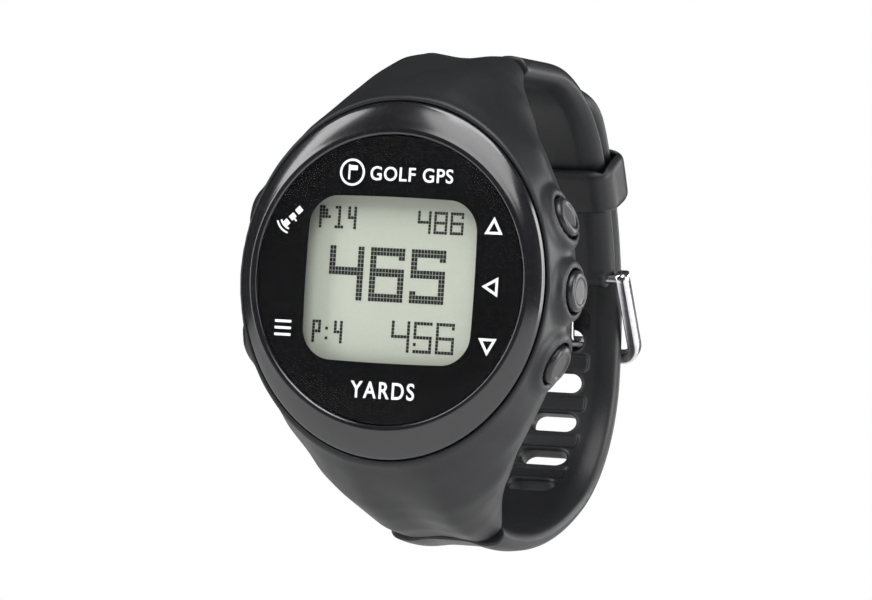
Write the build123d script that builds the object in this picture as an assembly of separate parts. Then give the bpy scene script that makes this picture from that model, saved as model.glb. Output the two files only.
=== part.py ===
"""Golf GPS watch, worn shut: head, five sprung buttons, two strap halves, buckle and keeper.

Frame, in millimetres: +X to 3 o'clock, +Z to 12 o'clock, -Y out of the face.
The origin is the middle of the caseback's outer face, the flat side that lies on the wrist.
"""
from build123d import *
import os
from math import asin, cos, degrees, radians, sin

# ---------------------------------------------------------------- driving dimensions
# Head, front to back along -Y
head_thickness = 15.0        # caseback's outer face to the glass
lens_diameter = 40.0
lens_thickness = 1.5
lens_gasket_thickness = 0.3
bezel_width = 45.3           # oval outline, 3 to 9 o'clock
bezel_height = 49.4          # oval outline, 12 to 6 o'clock
bezel_edge_drop = 1.5        # how far the oval's edge lies behind the glass
bezel_rim_width = 0.9        # flat rim beside the glass
bezel_ledge_thickness = 0.6
bezel_ledge_width = 1.4
shell_lip = 0.7              # shell showing round the bezel
shell_front_setback = 0.2    # shell's lip below the bezel's edge
side_bulge = 0.5             # how far the head's sides swell behind the lip
back_inset = 1.6             # how far the head narrows towards the back
back_rim = 1.4               # shell outside the caseback, above and below it

# Shoulders, which carry the strap
top_seam_depth = 8.2         # Y of the seam between shoulder and strap, 12 o'clock
bottom_seam_depth = 10.5

# Strap
strap_width = 18.4
strap_thickness = 2.7
layer_gap = 0.1              # between the two halves where they lie on each other
seam_gap = 0.12
back_face_depth = 47.6       # Y of the upper half's outer face at the back of the loop
back_radius = 60.1
back_centre_height = -11.0
knee_angle = 34.0            # where the back curve turns into the top curve
top_radius = 21.5
low_back_radius = 22.0
low_back_end_angle = -60.0
bottom_radius = 41.4
tail_tip_angle = 62.0
tail_tip_round_angle = 40.0
slot_width = 7.0
slot_length = 3.0
slot_pitch = 6.6
slots_below_pin = 4
slots_above_pin = 3
strap_edge_round = 1.1

# Lug bars and buckle
lug_bar_radius = 0.75
lug_bar_length = 13.0
lug_width = 9.0              # strap's tongue between the lugs
lug_bar_inset = 2.6          # bar's centre in front of the seam
lug_roof = 0.9               # shell over the strap's knuckle
knuckle_radius = 1.35
lug_gap = 0.1
buckle_bar_radius = 0.7
buckle_bar_angle = 14.4      # where the buckle's bar lies on the back curve
buckle_arm_gap = 0.35        # strap's side to buckle's arm
buckle_arm_width = 1.8
buckle_arm_height = 2.2
crossbar_radius = 1.05
crossbar_angle = 3.3
tongue_angle = 5.3           # where the tongue goes through the strap
tongue_width = 5.6
tongue_thickness = 0.9
tongue_barrel_radius = 1.3
tongue_overhang = 2.0
notch_gap = 0.3

# Keeper
keeper_angle = 28.1
keeper_length = 7.6
keeper_wall = 1.5
keeper_gap = 0.3
keeper_edge_round = 1.2

# Buttons
button_angles = {"up_button": 24.0, "back_button": 0.0, "down_button": -24.0,
                 "gps_button": 156.0, "menu_button": 204.0}
button_reach = 25.7          # head's centre to a cap's outer face
cap_radius = 2.85
cap_thickness = 2.2
cap_gap = 0.3
cap_edge_round = 0.7
button_travel = 0.6
stem_radius = 0.8
running_clearance = 0.05
collar_height = 0.9          # cap's face above its collar
collar_wall = 1.0
collar_foot_radius = 5.6
spring_wire = 0.28
spring_turns = 4
spring_radius = 1.6
spring_pocket_radius = 1.9
spring_seat = 19.6           # head's centre to the spring's seat
seal_radius = 1.3
seal_thickness = 0.8
clip_radius = 1.25
clip_thickness = 0.3
clip_groove_depth = 0.25
clip_gap = 0.05

# Inside the head
front_cavity_radius = 19.6
rear_cavity_radius = 16.6
holder_thickness = 3.0
lcd_width = 27.4
lcd_height = 25.0
lcd_thickness = 1.9
strip_width = 2.2            # rubber contact strips between the display and the board
board_radius = 15.4
board_thickness = 0.8
switch_length = 2.8
switch_width = 4.5
switch_height = 1.8
switch_nub_radius = 0.45
switch_nub_length = 0.5
switch_nub_setback = 0.15    # nub's axis behind the middle of its switch
antenna_side = 10.0
antenna_height = 9.5         # Z of its middle
antenna_thickness = 3.2
battery_width = 22.0
battery_height = 13.4
battery_thickness = 4.0
battery_z = -2.5
caseback_radius = 19.5
caseback_thickness = 1.8
caseback_gap = 0.1
caseback_spigot_height = 0.6
gasket_width = 0.7
gasket_height = 0.6
gasket_radius = 17.2         # middle of the caseback's seal
screw_circle = 18.35
screw_radius = 0.6
screw_head_radius = 1.0
screw_head_height = 0.7
screw_length = 4.2
contact_pitch = 2.6
contact_radius = 0.8
contact_height = -12.0       # Z of the row of charging contacts
contact_count = 4
fit_gap = 0.05

# ---------------------------------------------------------------- worked-out places
glass_y = -head_thickness
lens_back_y = glass_y + lens_thickness
ledge_y = lens_back_y + lens_gasket_thickness
bezel_back_y = ledge_y + bezel_ledge_thickness
bezel_edge_y = glass_y + bezel_edge_drop
shell_front_y = bezel_edge_y + shell_front_setback
holder_front_y = bezel_back_y + fit_gap
holder_back_y = holder_front_y + holder_thickness
board_front_y = holder_back_y + 0.2
board_back_y = board_front_y + board_thickness
button_depth = board_back_y + switch_height / 2 + switch_nub_setback  # Y of every button's axis
lens_radius = lens_diameter / 2
lip_half_width = bezel_width / 2 + shell_lip
lip_half_height = bezel_height / 2 + shell_lip
half_strap = strap_width / 2

back_centre = (back_face_depth - back_radius, back_centre_height)
tail_radius = back_radius + layer_gap + strap_thickness


def polar(centre, radius, angle):
    """A point of the side view (Y, Z), given round a centre."""
    return (centre[0] + radius * cos(radians(angle)), centre[1] + radius * sin(radians(angle)))


top_centre = polar(back_centre, back_radius - top_radius, knee_angle)
shoulder_top = top_centre[1] + top_radius
low_back_centre = (back_centre[0] + tail_radius - low_back_radius, back_centre_height)
bottom_centre = polar(low_back_centre, low_back_radius - bottom_radius, low_back_end_angle)
bottom_seam_slope = degrees(asin((bottom_centre[0] - bottom_seam_depth) / bottom_radius))
bottom_seam_angle = -90 - bottom_seam_slope
half_gap_angle = degrees(seam_gap / 2 / bottom_radius)
shoulder_bottom = -polar(bottom_centre, bottom_radius, bottom_seam_angle)[1]
buckle_bar = polar(back_centre, back_radius - strap_thickness / 2, buckle_bar_angle)
crossbar = polar(back_centre, tail_radius + layer_gap + crossbar_radius, crossbar_angle)
top_lug_bar = (top_seam_depth - lug_bar_inset, shoulder_top - lug_roof - knuckle_radius - fit_gap)
bottom_lug_bar = polar(bottom_centre, bottom_radius - lug_roof - knuckle_radius - fit_gap,
                       bottom_seam_angle - degrees(lug_bar_inset / bottom_radius))
clip_seat = rear_cavity_radius + fit_gap
nub_end = board_radius - 0.1
stem_end = nub_end + button_travel + fit_gap


# ---------------------------------------------------------------- helpers
def at_depth(y):
    """The plane of the face at a depth Y: its own x is X, its y is Z, and it faces the viewer."""
    return Plane.XZ.offset(-y)


def slab(sketch, back_y, front_y):
    """A sketch of the face, made solid between two depths."""
    return extrude(at_depth(back_y) * sketch, amount=back_y - front_y)


def disc(radius, back_y, front_y, x=0.0, z=0.0):
    return slab(Pos(x, z) * Circle(radius), back_y, front_y)


def ring(outer_radius, inner_radius, back_y, front_y):
    return slab(Circle(outer_radius) - Circle(inner_radius), back_y, front_y)


def block(width, height, back_y, front_y, x=0.0, z=0.0):
    return slab(Pos(x, z) * Rectangle(width, height), back_y, front_y)


def across(face, half_width):
    """A side-view face (Y, Z) made solid from -half_width to +half_width in X."""
    return extrude(Plane.YZ * face, amount=half_width, both=True)


def outward(angle, start):
    """A plane square to a button's axis, at a distance from the head's centre."""
    axis = (cos(radians(angle)), 0, sin(radians(angle)))
    return Plane(origin=(0, button_depth, 0), x_dir=(0, 1, 0), z_dir=axis).offset(start)


def rod(angle, radius, start, end):
    return extrude(outward(angle, start) * Circle(radius), amount=end - start)


def save(shape, name):
    export_step(shape, f"parts/{name}.step")


os.makedirs("parts", exist_ok=True)


# ---------------------------------------------------------------- loop's side view
def band_face(stretches, outer, inner):
    """A closed strip of the side view along tangent arcs, each (centre, radius, start, end)."""
    edges = []
    for centre, radius, start, end in stretches:
        edges.append(CenterArc(centre, radius + outer, start, end - start))
        edges.append(CenterArc(centre, radius - inner, start, end - start))
    for (centre, radius, start, end), angle_index in ((stretches[0], 2), (stretches[-1], 3)):
        angle = (centre, radius, start, end)[angle_index]
        edges.append(Line(polar(centre, radius + outer, angle), polar(centre, radius - inner, angle)))
    return make_face(edges)


def sector(centre, inner_radius, outer_radius, start, end):
    return band_face([(centre, outer_radius, start, end)], 0.0, outer_radius - inner_radius)


# ---------------------------------------------------------------- case shell
def side_outline():
    """Side view of the shell: flat front, an arc over each shoulder, the strap's seams, the back."""
    top_seam = (top_seam_depth - seam_gap / 2, shoulder_top)
    top_inner = (top_seam[0], shoulder_top - strap_thickness)
    seam_angle = bottom_seam_angle - half_gap_angle
    bottom_seam = polar(bottom_centre, bottom_radius, seam_angle)
    bottom_inner = polar(bottom_centre, bottom_radius - strap_thickness, seam_angle)
    forward = (-cos(radians(bottom_seam_slope)), sin(radians(bottom_seam_slope)))
    top_front = (shell_front_y, lip_half_height)
    bottom_front = (shell_front_y, -lip_half_height)
    back_edge = caseback_radius + back_rim
    return make_face([
        Line(bottom_front, top_front),
        TangentArc(top_seam, top_front, tangent=(-1, 0)),
        Line(top_seam, top_inner),
        TangentArc(top_inner, (0, back_edge), tangent=(-1, 0)),
        Line((0, back_edge), (0, -back_edge)),
        TangentArc(bottom_inner, (0, -back_edge), tangent=forward),
        Line(bottom_inner, bottom_seam),
        TangentArc(bottom_seam, bottom_front, tangent=forward),
    ])


def plan_outline(half_width, knee, end):
    """Front view of the shell at one depth: bowed sides that run into narrowing shoulders.

    knee is where a side turns into the top shoulder, as (X, Z), and end is the shoulder's corner.
    The bottom shoulder reaches further down than the top one reaches up, in proportion.
    """
    edges = []
    down = shoulder_bottom / shoulder_top if end[1] > lip_half_height else 1.0
    for way, stretch in ((1, 1.0), (-1, down)):
        shoulder = (knee[0], way * knee[1])
        corner = (end[0], way * end[1] * stretch)
        side = Spline((half_width, 0), shoulder, corner,
                      tangents=[(0, way), (corner[0] - shoulder[0], corner[1] - shoulder[1])])
        edges += [side, mirror(side, Plane.YZ), Line(corner, (-corner[0], corner[1]))]
    return make_face(edges)


def lug_place(bar, slope):
    """A lug bar's place, turned so that its Y runs along the strap there."""
    return Pos(0, *bar) * Rot(slope, 0, 0)


def lug_pocket(bar, side, slope):
    """Room for the strap's knuckle, open to the wrist, with the holes for its bar."""
    depth = 8.0
    roof = knuckle_radius + fit_gap
    front = knuckle_radius + lug_gap
    length = front + bottom_seam_depth
    room = Pos(0, length / 2 - front, side * (roof - depth / 2))
    holes = Rot(0, 90, 0) * Cylinder(lug_bar_radius, lug_bar_length)
    return lug_place(bar, slope) * (room * Box(lug_width + 2 * lug_gap, length, depth) + holes)


def make_case_shell():
    wide = lip_half_width + side_bulge
    knee_z = 0.78 * lip_half_height
    oval_knee = lip_half_width * (1 - 0.78 ** 2) ** 0.5
    top = shoulder_top + 1
    front_end = (0.3 * lip_half_width, lip_half_height)
    seam_end = (half_strap - 0.2, top)
    sections = [
        (shell_front_y - 0.01, lip_half_width, (oval_knee, knee_z), front_end),
        (shell_front_y / 2, wide, (0.77 * wide, knee_z), (half_strap - 1.0, top - 2)),
        (0.0, wide - back_inset, (half_strap + 6.2, knee_z), seam_end),
        (bottom_seam_depth + 0.1, wide - 3 * back_inset, (half_strap + 3.2, knee_z), seam_end),
    ]
    sides = loft([at_depth(y) * plan_outline(half, knee, end) for y, half, knee, end in sections])
    shell = sides & across(side_outline(), 2 * lip_half_width)
    collar_radius = cap_radius + cap_gap + collar_wall
    for angle in button_angles.values():
        foot = outward(angle, spring_seat - 1) * Circle(collar_foot_radius)
        shell += loft([foot, outward(angle, button_reach - collar_height) * Circle(collar_radius)])
    shell -= slab(Ellipse(bezel_width / 2 + fit_gap, bezel_height / 2 + fit_gap),
                  bezel_back_y, shell_front_y - 1)
    shell -= disc(front_cavity_radius, holder_back_y + fit_gap, bezel_back_y - 1)
    shell -= disc(rear_cavity_radius, 1, holder_back_y - 1)
    shell -= disc(caseback_radius + caseback_gap, 1, -caseback_thickness)
    for angle in button_angles.values():
        pocket_floor = button_reach - cap_thickness - button_travel - 0.2
        shell -= rod(angle, cap_radius + cap_gap, pocket_floor, button_reach + 3)
        shell -= rod(angle, spring_pocket_radius, spring_seat, button_reach)
        shell -= rod(angle, seal_radius, spring_seat - seal_thickness, button_reach)
        shell -= rod(angle, stem_radius + running_clearance, rear_cavity_radius - 2, button_reach)
        shell -= rod(angle, clip_radius + cap_gap, rear_cavity_radius - 2, clip_seat)
    for x, z in screw_places:
        shell -= disc(screw_radius, 1, -screw_head_height - screw_length, x, z)
    shell -= lug_pocket(top_lug_bar, 1, 0)
    shell -= lug_pocket(bottom_lug_bar, -1, -bottom_seam_slope)
    return shell


# ---------------------------------------------------------------- front of the head
def make_bezel_ring():
    oval = Ellipse(bezel_width / 2, bezel_height / 2)
    rim = Circle(lens_radius + fit_gap + bezel_rim_width)
    bezel = slab(oval, bezel_back_y, bezel_edge_y)
    bezel += loft([at_depth(bezel_edge_y) * oval, at_depth(glass_y) * rim])
    bezel -= disc(lens_radius + fit_gap, ledge_y, glass_y - 1)
    return bezel - disc(lens_radius - bezel_ledge_width, bezel_back_y + 1, glass_y - 1)


def make_lens():
    lens = disc(lens_radius, lens_back_y, glass_y)
    return chamfer(lens.edges().group_by(Axis.Y)[0], 0.25)


def make_lens_gasket():
    return ring(lens_radius - 0.1, lens_radius - bezel_ledge_width + 0.1, ledge_y, lens_back_y)


def make_lcd_holder():
    holder = disc(front_cavity_radius - 0.1, holder_back_y, holder_front_y)
    holder -= block(lcd_width + 0.2, lcd_height + 0.2, lcd_back_y, holder_front_y - 1)
    for side in (1, -1):
        holder -= block(lcd_width - 3, strip_width + 0.2, holder_back_y + 1, lcd_back_y - 1, z=side * strip_z)
    return holder


def make_lcd_panel():
    return block(lcd_width, lcd_height, lcd_back_y, lcd_back_y - lcd_thickness)


def make_contact_strips():
    return [block(lcd_width - 5.0, strip_width, board_front_y, lcd_back_y, z=side * strip_z)
            for side in (1, -1)]


# ---------------------------------------------------------------- electronics
def make_main_board():
    return disc(board_radius, board_back_y, board_front_y)


def make_board_chips():
    return [block(6.0, 6.0, board_back_y + 1.0, board_back_y, -5.2, -3.0),
            block(5.0, 5.0, board_back_y + 0.9, board_back_y, 3.4, -3.4),
            block(3.2, 4.0, board_back_y + 0.8, board_back_y, -0.6, 1.4)]


def make_gps_antenna():
    return block(antenna_side, antenna_side, board_back_y + antenna_thickness, board_back_y, z=antenna_height)


def make_battery():
    back_y = -caseback_thickness - caseback_spigot_height - 0.1
    battery = block(battery_width, battery_height, back_y, back_y - battery_thickness, z=battery_z)
    return fillet(battery.edges().filter_by(Axis.Y), 1.0)


def make_button_switches():
    switches = []
    for angle in button_angles.values():
        start = nub_end - switch_nub_length - switch_length
        middle = board_back_y + switch_height / 2 - button_depth
        body = extrude(outward(angle, start) * Pos(middle, 0) * Rectangle(switch_height, switch_width),
                       amount=switch_length)
        switches.append(body + rod(angle, switch_nub_radius, nub_end - switch_nub_length, nub_end))
    return switches


# ---------------------------------------------------------------- back of the head
def contact_places():
    return [(contact_pitch * (i - (contact_count - 1) / 2), contact_height) for i in range(contact_count)]


def make_caseback():
    back = disc(caseback_radius, 0, -caseback_thickness)
    outer = rear_cavity_radius - caseback_gap
    spigot_y = -caseback_thickness - caseback_spigot_height
    back += ring(outer, outer - 0.8, -caseback_thickness, spigot_y)
    back -= ring(gasket_radius + gasket_width / 2, gasket_radius - gasket_width / 2,
                 gasket_height - caseback_thickness, -caseback_thickness - 0.01)
    for x, z in screw_places:
        back -= disc(screw_head_radius + fit_gap, 1, -screw_head_height, x, z)
        back -= disc(screw_radius + 0.1, 1, -caseback_thickness - 1, x, z)
    for x, z in contact_places():
        back -= disc(contact_radius, 1, -caseback_thickness - 1, x, z)
    return back


def make_caseback_gasket():
    return ring(gasket_radius + gasket_width / 2, gasket_radius - gasket_width / 2,
                gasket_height - caseback_thickness, -caseback_thickness)


def make_caseback_screws():
    screws = []
    for x, z in screw_places:
        head = disc(screw_head_radius, 0, -screw_head_height, x, z)
        shaft = disc(screw_radius, -screw_head_height, -screw_head_height - screw_length + 0.3, x, z)
        slot = block(2.2, 0.3, 0.1, -0.35, x, z)
        screws.append(head + shaft - slot)
    return screws


def make_charge_contacts():
    return [disc(contact_radius, 0, contact_end_y, x, z) for x, z in contact_places()]


def make_contact_pins():
    return [disc(0.45, contact_end_y, board_back_y, x, z) for x, z in contact_places()]


# ---------------------------------------------------------------- buttons
def make_button(angle):
    cap = rod(angle, cap_radius, button_reach - cap_thickness, button_reach)
    cap = fillet(cap.faces().sort_by(SortBy.DISTANCE)[-1].edges(), cap_edge_round)
    stem = rod(angle, stem_radius, stem_end, button_reach - cap_thickness + 0.1)
    button = cap + stem
    groove = rod(angle, stem_radius + 0.1, clip_start - 0.02, clip_start + clip_thickness + 0.02)
    groove -= rod(angle, stem_radius - clip_groove_depth, clip_start - 1, clip_start + 1)
    return button - groove


def make_button_clip(angle):
    clip = rod(angle, clip_radius, clip_start, clip_start + clip_thickness)
    clip -= rod(angle, stem_radius - clip_groove_depth, clip_start - 1, clip_start + 1)
    mouth = outward(angle, clip_start - 1) * Pos(clip_radius, 0) * Rectangle(2 * clip_radius, 0.9)
    return clip - extrude(mouth, amount=2)


def make_button_spring(angle):
    length = button_reach - cap_thickness - spring_seat
    rise = length - spring_wire
    path = Helix(pitch=rise / spring_turns, height=rise, radius=spring_radius)
    wire = sweep(Plane(origin=path @ 0, z_dir=path % 0) * Circle(spring_wire / 2), path)
    return outward(angle, spring_seat + spring_wire / 2) * wire


def make_button_seals():
    return [rod(a, seal_radius, spring_seat - seal_thickness, spring_seat - fit_gap)
            - rod(a, stem_radius + running_clearance, spring_seat - 2, spring_seat + 1)
            for a in button_angles.values()]


# ---------------------------------------------------------------- strap
def lower_stretches():
    """The lower half's outer face from its seam round the back to its tail's tip."""
    top_layer = top_radius + layer_gap + strap_thickness
    return [(bottom_centre, bottom_radius, bottom_seam_angle + half_gap_angle, low_back_end_angle),
            (low_back_centre, low_back_radius, low_back_end_angle, 0.0),
            (back_centre, tail_radius, 0.0, knee_angle),
            (top_centre, top_layer, knee_angle, tail_tip_angle)]


def slot_places():
    """(Y, Z, angle) of each slot's middle, a pitch apart along the strap from the tongue's slot."""
    middle = strap_thickness / 2
    stretches = [(c, r - middle, a, b) for c, r, a, b in lower_stretches()]
    lengths = [r * radians(b - a) for c, r, a, b in stretches]
    pin = lengths[0] + lengths[1] + radians(tongue_angle) * stretches[2][1]
    places = []
    for step in range(-slots_below_pin, slots_above_pin + 1):
        distance = pin + step * slot_pitch
        index = 0
        while distance > lengths[index]:
            distance -= lengths[index]
            index += 1
        centre, radius, start, _ = stretches[index]
        angle = start + degrees(distance / radius)
        places.append((*polar(centre, radius, angle), angle))
    return places


def strap_knuckle(bar, side, slope):
    """The strap's end between the lugs: a barrel round the lug bar, and the web behind it."""
    barrel = Rot(0, 90, 0) * Cylinder(knuckle_radius, lug_width)
    length = lug_bar_inset + seam_gap + 0.5
    web = Pos(0, length / 2, -side * 0.1) * Box(lug_width, length, 2 * knuckle_radius - 0.4)
    bore = Rot(0, 90, 0) * Cylinder(lug_bar_radius + fit_gap, lug_width + 1)
    return lug_place(bar, slope) * (barrel + web), lug_place(bar, slope) * bore


def rounded_sides(strap):
    """The strap's long edges, rounded, on both its faces."""
    long_edges = [e for e in strap.edges() if abs(abs(e.center().X) - half_strap) < 0.01
                  and e.length > 2 * strap_thickness]
    return fillet(long_edges, strap_edge_round)


def make_strap_upper():
    start = top_seam_depth + seam_gap / 2
    flat_length = top_centre[0] - start
    flat = Pos(start + flat_length / 2, shoulder_top - strap_thickness / 2) * Rectangle(
        flat_length, strap_thickness)
    curve = band_face([(back_centre, back_radius, buckle_bar_angle, knee_angle),
                       (top_centre, top_radius, knee_angle, 90.0)], 0.0, strap_thickness)
    strap = rounded_sides(across(flat + curve, half_strap))
    strap += across(Pos(*buckle_bar) * Circle(strap_thickness / 2), half_strap - strap_edge_round)
    knuckle, bore = strap_knuckle(top_lug_bar, 1, 0)
    notch_radius = tongue_barrel_radius + notch_gap
    notch = across(Pos(*buckle_bar) * (Circle(notch_radius) + Pos(0, -notch_radius) * Rectangle(
        2 * notch_radius + 1, 2 * notch_radius)), tongue_width / 2 + notch_gap)
    tunnel = across(Pos(*buckle_bar) * Circle(buckle_bar_radius), half_strap + 1)
    return strap + knuckle - bore - notch - tunnel


def make_strap_lower():
    stretches = lower_stretches()
    strap = rounded_sides(across(band_face(stretches, 0.0, strap_thickness), half_strap))
    centre, radius, _, _ = stretches[-1]
    tip_plane = side_plane(centre, radius, tail_tip_round_angle)
    reach = 2 * radius
    beyond = tip_plane * Pos(0, reach / 2) * Rectangle(strap_width + 1, reach)
    rounded = tip_plane * Circle(half_strap)
    strap -= extrude(beyond - rounded, amount=2 * strap_thickness, both=True)
    for y, z, angle in slot_places():
        plane = Plane(origin=(0, y, z), x_dir=(1, 0, 0), z_dir=(0, cos(radians(angle)), sin(radians(angle))))
        strap -= extrude(plane * SlotOverall(slot_width, slot_length), amount=strap_thickness, both=True)
    knuckle, bore = strap_knuckle(bottom_lug_bar, -1, -bottom_seam_slope)
    return strap + knuckle - bore


def side_plane(centre, radius, angle):
    """A plane lying on the strap: its x is X, its y runs up the strap, and it faces outwards."""
    y, z = polar(centre, radius, angle)
    return Plane(origin=(0, y, z), x_dir=(-1, 0, 0), z_dir=(0, cos(radians(angle)), sin(radians(angle))))


def make_lug_bars():
    return [Pos(0, y, z) * Rot(0, 90, 0) * Cylinder(lug_bar_radius, lug_bar_length - 0.2)
            for y, z in (top_lug_bar, bottom_lug_bar)]


# ---------------------------------------------------------------- buckle and keeper
def make_buckle_bar():
    half = half_strap + buckle_arm_gap + buckle_arm_width - 0.2
    return across(Pos(*buckle_bar) * Circle(buckle_bar_radius), half)


def make_buckle_frame():
    eye = Pos(*buckle_bar) * Circle(buckle_arm_height / 2)
    corner = Pos(*crossbar) * Circle(crossbar_radius)
    arm_end = Pos(*crossbar) * Circle(buckle_arm_height / 2)
    arm = make_hull(eye.edges() + arm_end.edges())
    inner = half_strap + buckle_arm_gap
    plate = arm - Pos(*buckle_bar) * Circle(buckle_bar_radius + running_clearance)
    frame = across(corner, inner + buckle_arm_width / 2)
    for side in (1, -1):
        frame += Pos(side * (inner + buckle_arm_width / 2), 0, 0) * across(plate, buckle_arm_width / 2)
    return frame


def make_buckle_tongue():
    middle = back_radius - strap_thickness / 2
    over = tail_radius + layer_gap + 2 * crossbar_radius + fit_gap + tongue_thickness / 2
    route = FilletPolyline(buckle_bar, polar(back_centre, middle + 0.1, tongue_angle + 0.2),
                           polar(back_centre, over + 0.1, tongue_angle - 0.1),
                           polar(back_centre, over, crossbar_angle - tongue_overhang),
                           radius=tongue_thickness / 2 + 0.15)
    plate = make_face(offset(route, tongue_thickness / 2, side=Side.BOTH, kind=Kind.INTERSECTION))
    tongue = across(plate + Pos(*buckle_bar) * Circle(tongue_barrel_radius), tongue_width / 2)
    return tongue - across(Pos(*buckle_bar) * Circle(buckle_bar_radius + running_clearance), 20)


def make_keeper():
    half_angle = degrees(keeper_length / 2 / tail_radius)
    start, end = keeper_angle - half_angle, keeper_angle + half_angle
    inner = back_radius - strap_thickness - keeper_gap
    outer = tail_radius + keeper_gap
    body = across(sector(back_centre, inner - keeper_wall, outer + keeper_wall, start, end),
                  half_strap + keeper_gap + keeper_wall)
    body = fillet(body.edges().filter_by(lambda e: abs(abs(e.center().X) - half_strap - keeper_gap
                                                       - keeper_wall) < 0.01), keeper_edge_round)
    return body - across(sector(back_centre, inner, outer, start - 2, end + 2), half_strap + keeper_gap)


# ---------------------------------------------------------------- values that pieces share, and the build
screw_places = [(sx * screw_circle * cos(radians(45)), sz * screw_circle * sin(radians(45)))
                for sx in (1, -1) for sz in (1, -1)]
lcd_back_y = holder_front_y + fit_gap + lcd_thickness
strip_z = lcd_height / 2 - strip_width / 2 - 0.6
contact_end_y = -caseback_thickness - caseback_spigot_height
clip_start = clip_seat - clip_gap - clip_thickness

save(make_case_shell(), "case_shell")
save(make_bezel_ring(), "bezel_ring")
save(make_lens(), "lens")
save(make_lens_gasket(), "lens_gasket")
save(make_lcd_holder(), "lcd_holder")
save(make_lcd_panel(), "lcd_panel")
save(Compound(make_contact_strips()), "contact_strips")
save(make_main_board(), "main_board")
save(Compound(make_board_chips()), "board_chips")
save(make_gps_antenna(), "gps_antenna")
save(make_battery(), "battery")
save(Compound(make_button_switches()), "button_switches")
save(Compound(make_button_seals()), "button_seals")
save(make_caseback(), "caseback")
save(make_caseback_gasket(), "caseback_gasket")
save(Compound(make_caseback_screws()), "caseback_screws")
save(Compound(make_charge_contacts()), "charge_contacts")
save(Compound(make_contact_pins()), "contact_pins")
for name, button_angle in button_angles.items():
    save(make_button(button_angle), name)
    save(make_button_clip(button_angle), f"{name}_clip")
    save(make_button_spring(button_angle), f"{name}_spring")
save(make_strap_upper(), "strap_upper")
save(make_strap_lower(), "strap_lower")
save(Compound(make_lug_bars()), "lug_bars")
save(make_buckle_bar(), "buckle_bar")
save(make_buckle_frame(), "buckle_frame")
save(make_buckle_tongue(), "buckle_tongue")
save(make_keeper(), "keeper")

for name, point in {"back_centre": back_centre, "buckle_bar": buckle_bar, "crossbar": crossbar,
                    "top_centre": top_centre, "top_lug_bar": top_lug_bar,
                    "bottom_lug_bar": bottom_lug_bar, "bottom_centre": bottom_centre}.items():
    print(name, round(point[0], 3), round(point[1], 3))
print("shoulders", round(shoulder_top, 3), round(shoulder_bottom, 3), "slots",
      [(round(y, 1), round(z, 1)) for y, z, _ in slot_places()])
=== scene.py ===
# %% [markdown]
# # A golf GPS watch, worn shut
#
# The watch is a round-faced digital one: a glass over a small display, a glossy oval bezel, a soft
# rubber case that runs into a rubber strap, five push buttons and a steel buckle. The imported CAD
# model gives every size. This script puts finished surfaces around it and lights them.
#
# Sizes below are in millimetres, in the CAD's frame: +X points to 3 o'clock, +Z to 12 o'clock and
# -Y out of the glass. The meshes are scaled to metres when they are made.

# %% The frame
import bmesh
import bpy
import numpy as np
from mathutils import Matrix, Vector


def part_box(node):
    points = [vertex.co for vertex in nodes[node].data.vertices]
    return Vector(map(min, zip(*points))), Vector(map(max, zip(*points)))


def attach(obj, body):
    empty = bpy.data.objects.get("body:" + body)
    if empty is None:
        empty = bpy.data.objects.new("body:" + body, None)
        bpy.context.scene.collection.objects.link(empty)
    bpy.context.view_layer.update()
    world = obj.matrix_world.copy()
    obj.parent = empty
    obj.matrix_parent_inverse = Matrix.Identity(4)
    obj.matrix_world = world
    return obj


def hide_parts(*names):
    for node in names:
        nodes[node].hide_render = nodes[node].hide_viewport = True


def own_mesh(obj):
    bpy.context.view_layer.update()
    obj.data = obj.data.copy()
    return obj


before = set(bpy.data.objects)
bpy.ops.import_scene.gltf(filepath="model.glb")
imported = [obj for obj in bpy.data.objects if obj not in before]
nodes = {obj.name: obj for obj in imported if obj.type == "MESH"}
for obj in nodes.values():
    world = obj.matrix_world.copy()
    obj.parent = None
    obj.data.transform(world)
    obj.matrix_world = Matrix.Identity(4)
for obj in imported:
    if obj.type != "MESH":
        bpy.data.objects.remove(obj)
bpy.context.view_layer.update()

MM = 0.001
scene = bpy.context.scene


def node_box(name):
    """Lowest and highest corners of a CAD node, as two arrays in millimetres."""
    low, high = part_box(name)
    return np.array(low) / MM, np.array(high) / MM


def new_object(name, data):
    """An object for a mesh, lamp or camera, linked to the scene."""
    thing = bpy.data.objects.new(name, data)
    scene.collection.objects.link(thing)
    return thing


# %% [markdown]
# ## The camera
#
# A watch like this is shown from a little to its right and almost level with its middle, from far
# enough away that near and far parts keep nearly the same size. So the camera stands a metre from
# the glass with a long lens. Its turn round the watch, its height and its tilt are three angles,
# and the picture's middle is moved by the lens shift, which leaves the perspective alone.

# %% Camera
CAMERA_DISTANCE = 1000.0
CAMERA_TURN = np.radians(24.1)       # towards 3 o'clock
CAMERA_RISE = np.radians(-1.6)       # just below the middle of the glass
CAMERA_TILT = np.radians(3.7)        # the watch leans clockwise in the picture
COLUMNS_PER_RADIAN = 7287.0          # columns of the render that one radian covers
SENSOR_WIDTH = 36.0
PICTURE_WIDTH, PICTURE_HEIGHT = 872, 600
GLASS_COLUMN, GLASS_ROW = 388.0, 280.0   # where the middle of the glass comes in the render

glass_y = node_box("lens")[0][1]
glass_middle = np.array([0.0, glass_y, 0.0])
back = np.array([np.sin(CAMERA_TURN) * np.cos(CAMERA_RISE),
                 -np.cos(CAMERA_TURN) * np.cos(CAMERA_RISE), np.sin(CAMERA_RISE)])
right = np.array([np.cos(CAMERA_TURN), np.sin(CAMERA_TURN), 0.0])
up = np.cross(back, right)
right, up = (right * np.cos(CAMERA_TILT) + up * np.sin(CAMERA_TILT),
             up * np.cos(CAMERA_TILT) - right * np.sin(CAMERA_TILT))

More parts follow.
